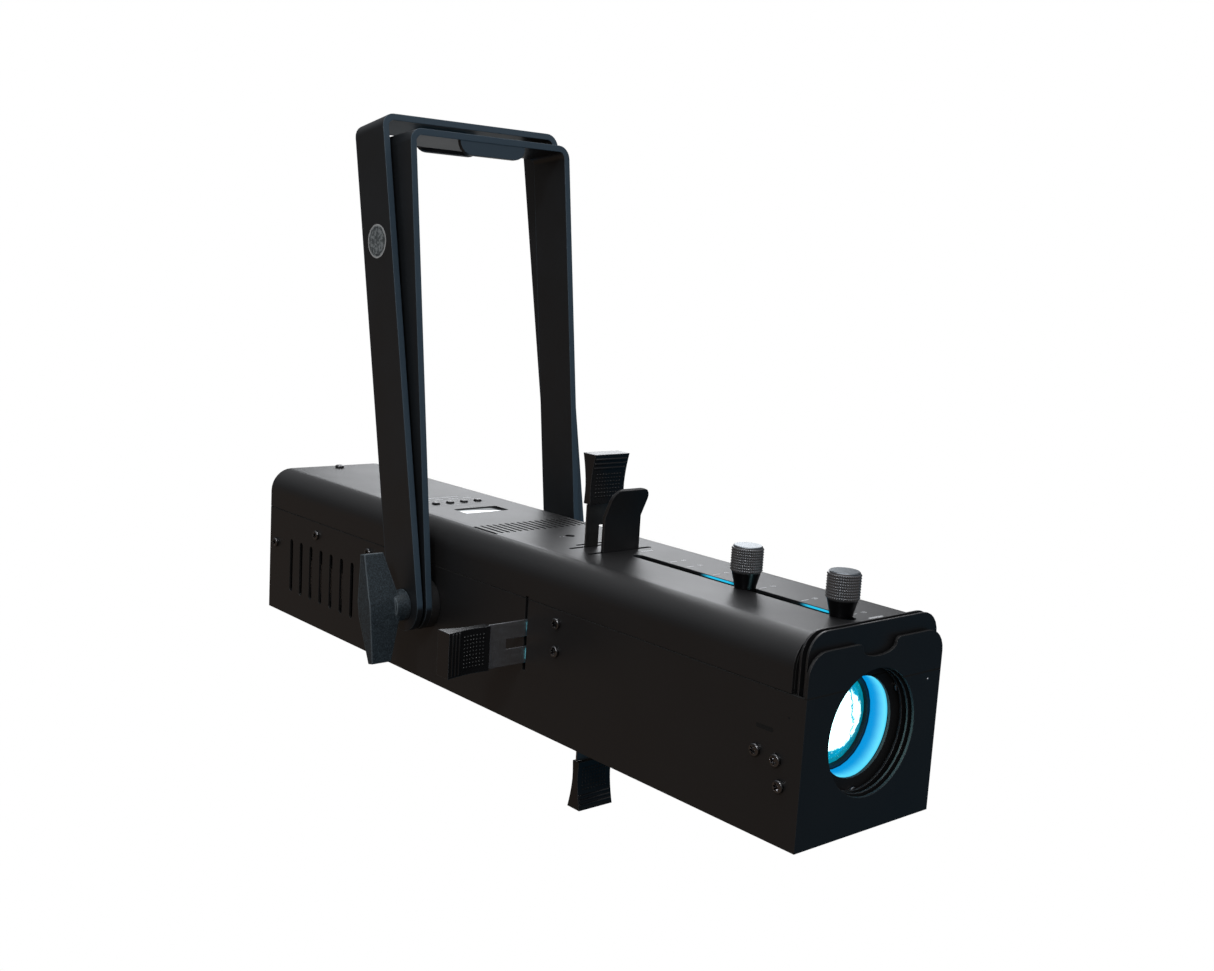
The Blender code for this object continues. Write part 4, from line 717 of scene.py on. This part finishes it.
def lit_glass(name, strength):
    material, place = new_finish(name)
    _, across, up, away = beam_parts(place)
    ragged = place.noise(260.0, 4.0, 0.65)
    image = (across + 0.16) * (across + 0.16) * 0.8 + (up - 0.02) * (up - 0.02) * 1.5
    hot = (image.root() + (ragged - 0.5) * 0.34).ramp(0.80, 0.72)
    crease = (across - 0.36 + up * 0.12 + (place.noise(150.0, 4.0, 0.7) - 0.5) * 0.55).size()
    hot = hot * crease.ramp(0.012, 0.055)
    sparks = place.noise(1500.0, 2.0).ramp(0.70, 0.76) * away.ramp(0.98, 0.86)
    shade = (ragged * 0.8).mix((0.0, 0.035, 0.055, 1), (0.0, 0.20, 0.28, 1))
    glow = hot.mix(shade, (0.55, 1.0, 1.0, 1))
    glow = (sparks * 0.7).mix(glow, (0.35, 0.95, 1.0, 1))
    return close_finish(material, {"Base Color": (0.004, 0.02, 0.03, 1), "Roughness": 0.04,
                                   "Coat Weight": 1.0, "Coat Roughness": 0.02, "Emission Color": glow,
                                   "Emission Strength": strength})


dress("front_lens", lit_glass("lit_front_glass", 3.2))
dress("rear_lens", lit_glass("lit_rear_glass", 1.2))
clear_glass, place = new_finish("condenser_glass")
close_finish(clear_glass, {"Base Color": (0.75, 0.9, 0.93, 1),
                           "Roughness": 0.03 + place.noise(90.0, 2.0) * 0.03,
                           "Transmission Weight": 0.9, "IOR": 1.47})
dress("condenser_lens", clear_glass)

# ---- Display glass
# A plain pane with small bevels, a little smaller than the cover's opening.  Its pale face is a
# glow of its own that stands for a reflection, and it goes dark along the left edge.
low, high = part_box("display_window")
panel, place = new_finish("display_panel")
lit = place.axes()[1].ramp(high.y - 0.002, high.y - 0.006)
lit = lit * (0.93 + place.noise(120.0, 2.0) * 0.07)
close_finish(panel, {"Base Color": (0.10, 0.11, 0.12, 1), "Roughness": 0.08, "Coat Weight": 1.0,
                     "Emission Color": lit.mix((0.0, 0.0, 0.0, 1), (0.86, 0.90, 0.93, 1)),
                     "Emission Strength": 1.0})
PANE_SINK, PANE_PLAY, PANE_BEVEL = 0.0008, 0.00025, 0.0003
bpy.ops.mesh.primitive_cube_add(size=1, location=((low.x + high.x) / 2, 0, (low.z + TOP - PANE_SINK) / 2))
pane = bpy.context.object
pane.name = "display_pane"
pane.scale = (high.x - low.x - 2 * PANE_PLAY, high.y - low.y - 2 * PANE_PLAY, TOP - PANE_SINK - low.z)
only(pane)
bpy.ops.object.transform_apply(scale=True)
edit(pane)
bpy.ops.mesh.select_all(action="SELECT")
bpy.ops.mesh.bevel(offset=PANE_BEVEL, segments=2)
close(pane, 30)
belong(pane, "housing", panel)
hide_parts("display_window")


def anodised(name, lit_from):
    """Black anodised aluminium, lit cyan on the narrow wall ahead of the glass."""
    material, place = new_finish(name)
    ahead, _, _, away = beam_parts(place)
    lines = place.scaled(2600.0, 50.0, 50.0).noise(1.0, 2.0)
    inside = away.ramp(1.055, 1.045) * (ahead - lit_from).ramp(0.0, 0.0006)
    bright = (ahead - lit_from).ramp(0.003, 0.011)
    glow = bright.mix((0.0, 0.30, 0.72, 1), (0.10, 0.72, 1.0, 1))
    glow = inside.mix((0, 0, 0, 1), glow)
    return close_finish(material, {"Base Color": (0.012, 0.012, 0.013, 1),
                                   "Roughness": 0.34 + (lines - 0.5) * 0.1,
                                   "Emission Color": glow, "Emission Strength": 1.0},
                        bump=lines, strength=0.1, distance=0.00004, round_edge=0.0002)


for label in ("front_lens", "rear_lens"):
    dress(f"{label}_carriage", anodised(f"{label}_carriage_metal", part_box(f"{label}_ring")[1].x))
    dress(f"{label}_ring", anodised(f"{label}_ring_metal", 1.0))

# ---- Tilt knobs
# Cast nylon wing knobs with a coarse, matt skin.  Their edges are rounded in the shading and carry a
# painted highlight, and the light picks out the grain on them in blue.
def cast_nylon():
    material, place = new_finish("cast_nylon")
    grain = place.noise(1300.0, 3.0, 0.7)
    tint = grain.ramp(0.38, 0.72).mix((0.011, 0.017, 0.022, 1), (0.055, 0.080, 0.098, 1))
    return close_finish(material, {"Base Color": tint, "Roughness": 0.52 + (grain - 0.5) * 0.25},
                        bump=grain, strength=0.55, distance=0.00025, round_edge=0.0016,
                        painted_edge_highlight=(0.15, 0.19, 0.22, 1))


knob_nylon = cast_nylon()
for label in ("left", "right"):
    dress(f"{label}_tilt_knob", knob_nylon)

# ---- Printed marks on the cover
# Pale printed ink: focus ticks with their numbers beside the slot, a word at each end of it,
# words and a line by the buttons, and two dots by the round hole.
ink, place = new_finish("white_ink")
close_finish(ink, {"Base Color": (0.62, 0.64, 0.66, 1),
                   "Roughness": 0.5 + (place.noise(900.0, 2.0) - 0.5) * 0.2})
PRINT_HEIGHT = TOP - BASE + 0.00004
TICKS_AHEAD = (-0.1525, -0.1390, -0.1186, -0.0844, -0.0555, -0.0242)
TICK_ACROSS, NUMBER_ACROSS, NUMBER_SIZE = 0.0082, 0.0160, 0.0034
LETTER_PITCH, LETTER_WIDTH, SHORT_LETTER = 0.72, 0.42, 0.8
marks = []


def stroke(x, y, long_x, long_y):
    """One printed bar on the cover, given by its middle and its size ahead and across."""
    bpy.ops.mesh.primitive_plane_add(size=1, location=spot(x, y, PRINT_HEIGHT))
    bar = bpy.context.object
    bar.scale = (long_x, long_y, 1)
    marks.append(bar)
    return bar


def printed(text, x, y, size):
    """A number printed on the cover and read from the lens end."""
    bpy.ops.object.select_all(action="DESELECT")
    bpy.ops.object.text_add(location=spot(x, y, PRINT_HEIGHT), rotation=(0, 0, math.pi / 2))
    words = bpy.context.object
    words.data.body = text
    words.data.size = size
    words.data.align_x = "CENTER"
    words.data.align_y = "CENTER"
    words.data.resolution_u = 2
    only(words)
    bpy.ops.object.convert(target="MESH")
    marks.append(bpy.context.object)


def word(x, y, letters, height):
    """A printed word, stood for by a row of short upright strokes."""
    for letter in range(letters):
        step = (letter - (letters - 1) / 2) * height * LETTER_PITCH
        stroke(x, y + step, height * (1.0 if letter % 3 else SHORT_LETTER), height * LETTER_WIDTH)


for number, x in enumerate(TICKS_AHEAD):
    stroke(x, TICK_ACROSS, 0.0005, 0.0052)
    printed(str(60 - 10 * number), x, NUMBER_ACROSS, NUMBER_SIZE)
word(-0.1810, 0.0140, 6, 0.0021)
word(-0.0150, 0.0140, 7, 0.0021)
BUTTON_BOXES = [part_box(f"menu_button_{number + 1}") for number in range(4)]
BUTTON_SPOTS = [((low + high) / 2 - Vector((FRONT, 0, BASE))) for low, high in BUTTON_BOXES]
for number, where in enumerate(BUTTON_SPOTS):
    word(where.x - 0.0070, where.y, 4, 0.0016)
    word(where.x - 0.0125, where.y * 1.02, 5 - number % 2, 0.0022)
button_x = sum(where.x for where in BUTTON_SPOTS) / 4
stroke(button_x + 0.0062, 0.0, 0.0003, 0.0380)
word(button_x - 0.0185, 0.0, 14, 0.0027)
for y in (-0.0075, -0.0050):
    stroke(-0.2337, y, 0.0008, 0.0008)
bpy.ops.object.select_all(action="DESELECT")
for bar in marks:
    bar.select_set(True)
bpy.context.view_layer.objects.active = marks[0]
bpy.ops.object.join()
top_print = bpy.context.object
top_print.name = "cover_print"
close(top_print, 5)
belong(top_print, "housing", ink)

# ---- Small openings in the housing
# An oblong slot and a pin hole near the lens end of each side, stood for by flush black patches
# of painted shadow, and a bright rivet head that stands a little proud of the front plate.
shadow, place = new_finish("opening_shadow")
close_finish(shadow, {"Base Color": (0.0015, 0.0015, 0.0015, 1), "Roughness": 0.9 + place.noise(50.0) * 0.05})
OPENING_LIFT = 0.00004
OPENINGS = (("slot", -0.0240, 0.0540, 0.0011, 0.0088), ("pin_hole", -0.0096, 0.0627, 0.0006, 0))
RIVET_RADIUS, RIVET_SPOT = 0.0007, spot(-0.0003, 0.0400, 0.0700)
for side, name in ((-1, "right"), (1, "left")):
    for label, x, z, radius, run in OPENINGS:
        bpy.ops.mesh.primitive_circle_add(vertices=24, radius=radius, fill_type="NGON",
                                          rotation=(math.pi / 2, 0, 0))
        hole = bpy.context.object
        hole.name = f"{name}_{label}"
        only(hole)
        bpy.ops.object.transform_apply(rotation=True)
        for corner in hole.data.vertices:
            corner.co.x += math.copysign(run / 2, corner.co.x)
        hole.location = spot(x, side * (SIDE + OPENING_LIFT), z)
        if side > 0:
            hole.rotation_euler = (0, 0, math.pi)
        close(hole, 5)
        belong(hole, "housing", shadow)
bpy.ops.mesh.primitive_uv_sphere_add(segments=16, ring_count=8, radius=RIVET_RADIUS,
                                     location=RIVET_SPOT)
rivet = bpy.context.object
rivet.name = "front_rivet"
close(rivet, 60)
belong(rivet, "housing", blade_steel)

# ---- Inspection sticker
# A round foil sticker on the outside of the right leg of the yoke, plain and without wording.
STICKER_RADIUS, STICKER_DEPTH, STICKER_RISE = 0.0103, 0.00012, 0.222
PIVOT = (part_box("right_tilt_knob")[0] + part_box("right_tilt_knob")[1]) / 2
LEG_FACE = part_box("outer_yoke")[0].y
centre = Vector((PIVOT.x - math.sin(OUTER_LEAN) * STICKER_RISE, LEG_FACE,
                 PIVOT.z + math.cos(OUTER_LEAN) * STICKER_RISE))
foil, place = new_finish("sticker_foil")
shift = place.node("ShaderNodeVectorMath", {"operation": "DISTANCE"}, {0: place, 1: tuple(centre)}, 1)
ring = shift.ramp(STICKER_RADIUS - 0.0011, STICKER_RADIUS - 0.0009)
inner_ring = (shift - (STICKER_RADIUS - 0.0022)).size().ramp(0.0003, 0.0001)
blotches = place.noise(620.0, 2.0, 0.6).ramp(0.42, 0.62)
middle_tone = blotches.mix((0.10, 0.12, 0.13, 1), (0.30, 0.34, 0.36, 1))
middle_tone = inner_ring.mix(middle_tone, (0.03, 0.035, 0.04, 1))
close_finish(foil, {"Base Color": ring.mix(middle_tone, (0.52, 0.55, 0.57, 1)),
                    "Metallic": 0.2, "Roughness": 0.28 + blotches * 0.2})
bpy.ops.mesh.primitive_cylinder_add(vertices=48, radius=STICKER_RADIUS, depth=STICKER_DEPTH,
                                    location=centre, rotation=(math.pi / 2, 0, 0))
sticker = bpy.context.object
sticker.name = "inspection_sticker"
close(sticker, 40)
belong(sticker, "outer_yoke", foil)

# ---- Light in the focus slot
# The lit lens carriages spill cyan onto the far wall of the slot behind each focus knob.  A thin
# skin on that wall shows the spill where the knobs rest, strongest in its middle.
SLOT_WALL, SHEET = 0.0035, 0.0015
SPILL_REACHES = ((-0.0300, -0.0060), (-0.0370, -0.0070))
for label, (start, end) in zip(("front_lens", "rear_lens"), SPILL_REACHES):
    knob_x = ((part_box(f"{label}_knob")[0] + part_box(f"{label}_knob")[1]) / 2).x
    centre = Vector((knob_x + (start + end) / 2, SLOT_WALL - 0.00003, TOP - SHEET * 0.62))
    spill, place = new_finish(f"{label}_spill")
    ahead = place.axes()[0]
    fade = (ahead - centre.x).size().ramp((end - start) * 0.5, (end - start) * 0.22)
    close_finish(spill, {"Base Color": (0.01, 0.01, 0.01, 1), "Roughness": 0.5 + place.noise(300.0) * 0.05,
                         "Emission Color": fade.mix((0, 0, 0, 1), (0.02, 0.55, 0.85, 1)),
                         "Emission Strength": 1.0})
    bpy.ops.mesh.primitive_plane_add(size=1, location=centre, rotation=(math.pi / 2, 0, 0))
    skin = bpy.context.object
    skin.name = f"{label}_slot_spill"
    skin.scale = (end - start, SHEET * 0.74, 1)
    close(skin, 5)
    belong(skin, "housing", spill)

# ---- Light in the side shutter slots
# The same light leaks past the front of each side blade.  A narrow skin in that gap, a little
# below the wall's outside, shows it as a broken pale line.
GAP_START, GAP_WIDTH, GAP_SINK, GAP_RISE = 0.00015, 0.00055, 0.0006, 0.0215
leak, place = new_finish("slot_leak")
broken = place.noise(190.0, 2.0, 0.5).ramp(0.42, 0.56)
close_finish(leak, {"Base Color": (0.01, 0.01, 0.01, 1), "Roughness": 0.5,
                    "Emission Color": broken.mix((0.0, 0.02, 0.03, 1), (0.16, 0.55, 0.62, 1)),
                    "Emission Strength": 1.0})
for side, name in ((-1, "right"), (1, "left")):
    blade_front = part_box(f"{name}_shutter_blade")[1].x
    bpy.ops.mesh.primitive_plane_add(size=1, rotation=(math.pi / 2, 0, 0))
    skin = bpy.context.object
    skin.name = f"{name}_slot_leak"
    skin.scale = (GAP_WIDTH, 2 * GAP_RISE, 1)
    skin.location = (blade_front + GAP_START + GAP_WIDTH / 2, side * (SIDE - GAP_SINK), BEAM.z)
    close(skin, 5)
    belong(skin, "housing", leak)
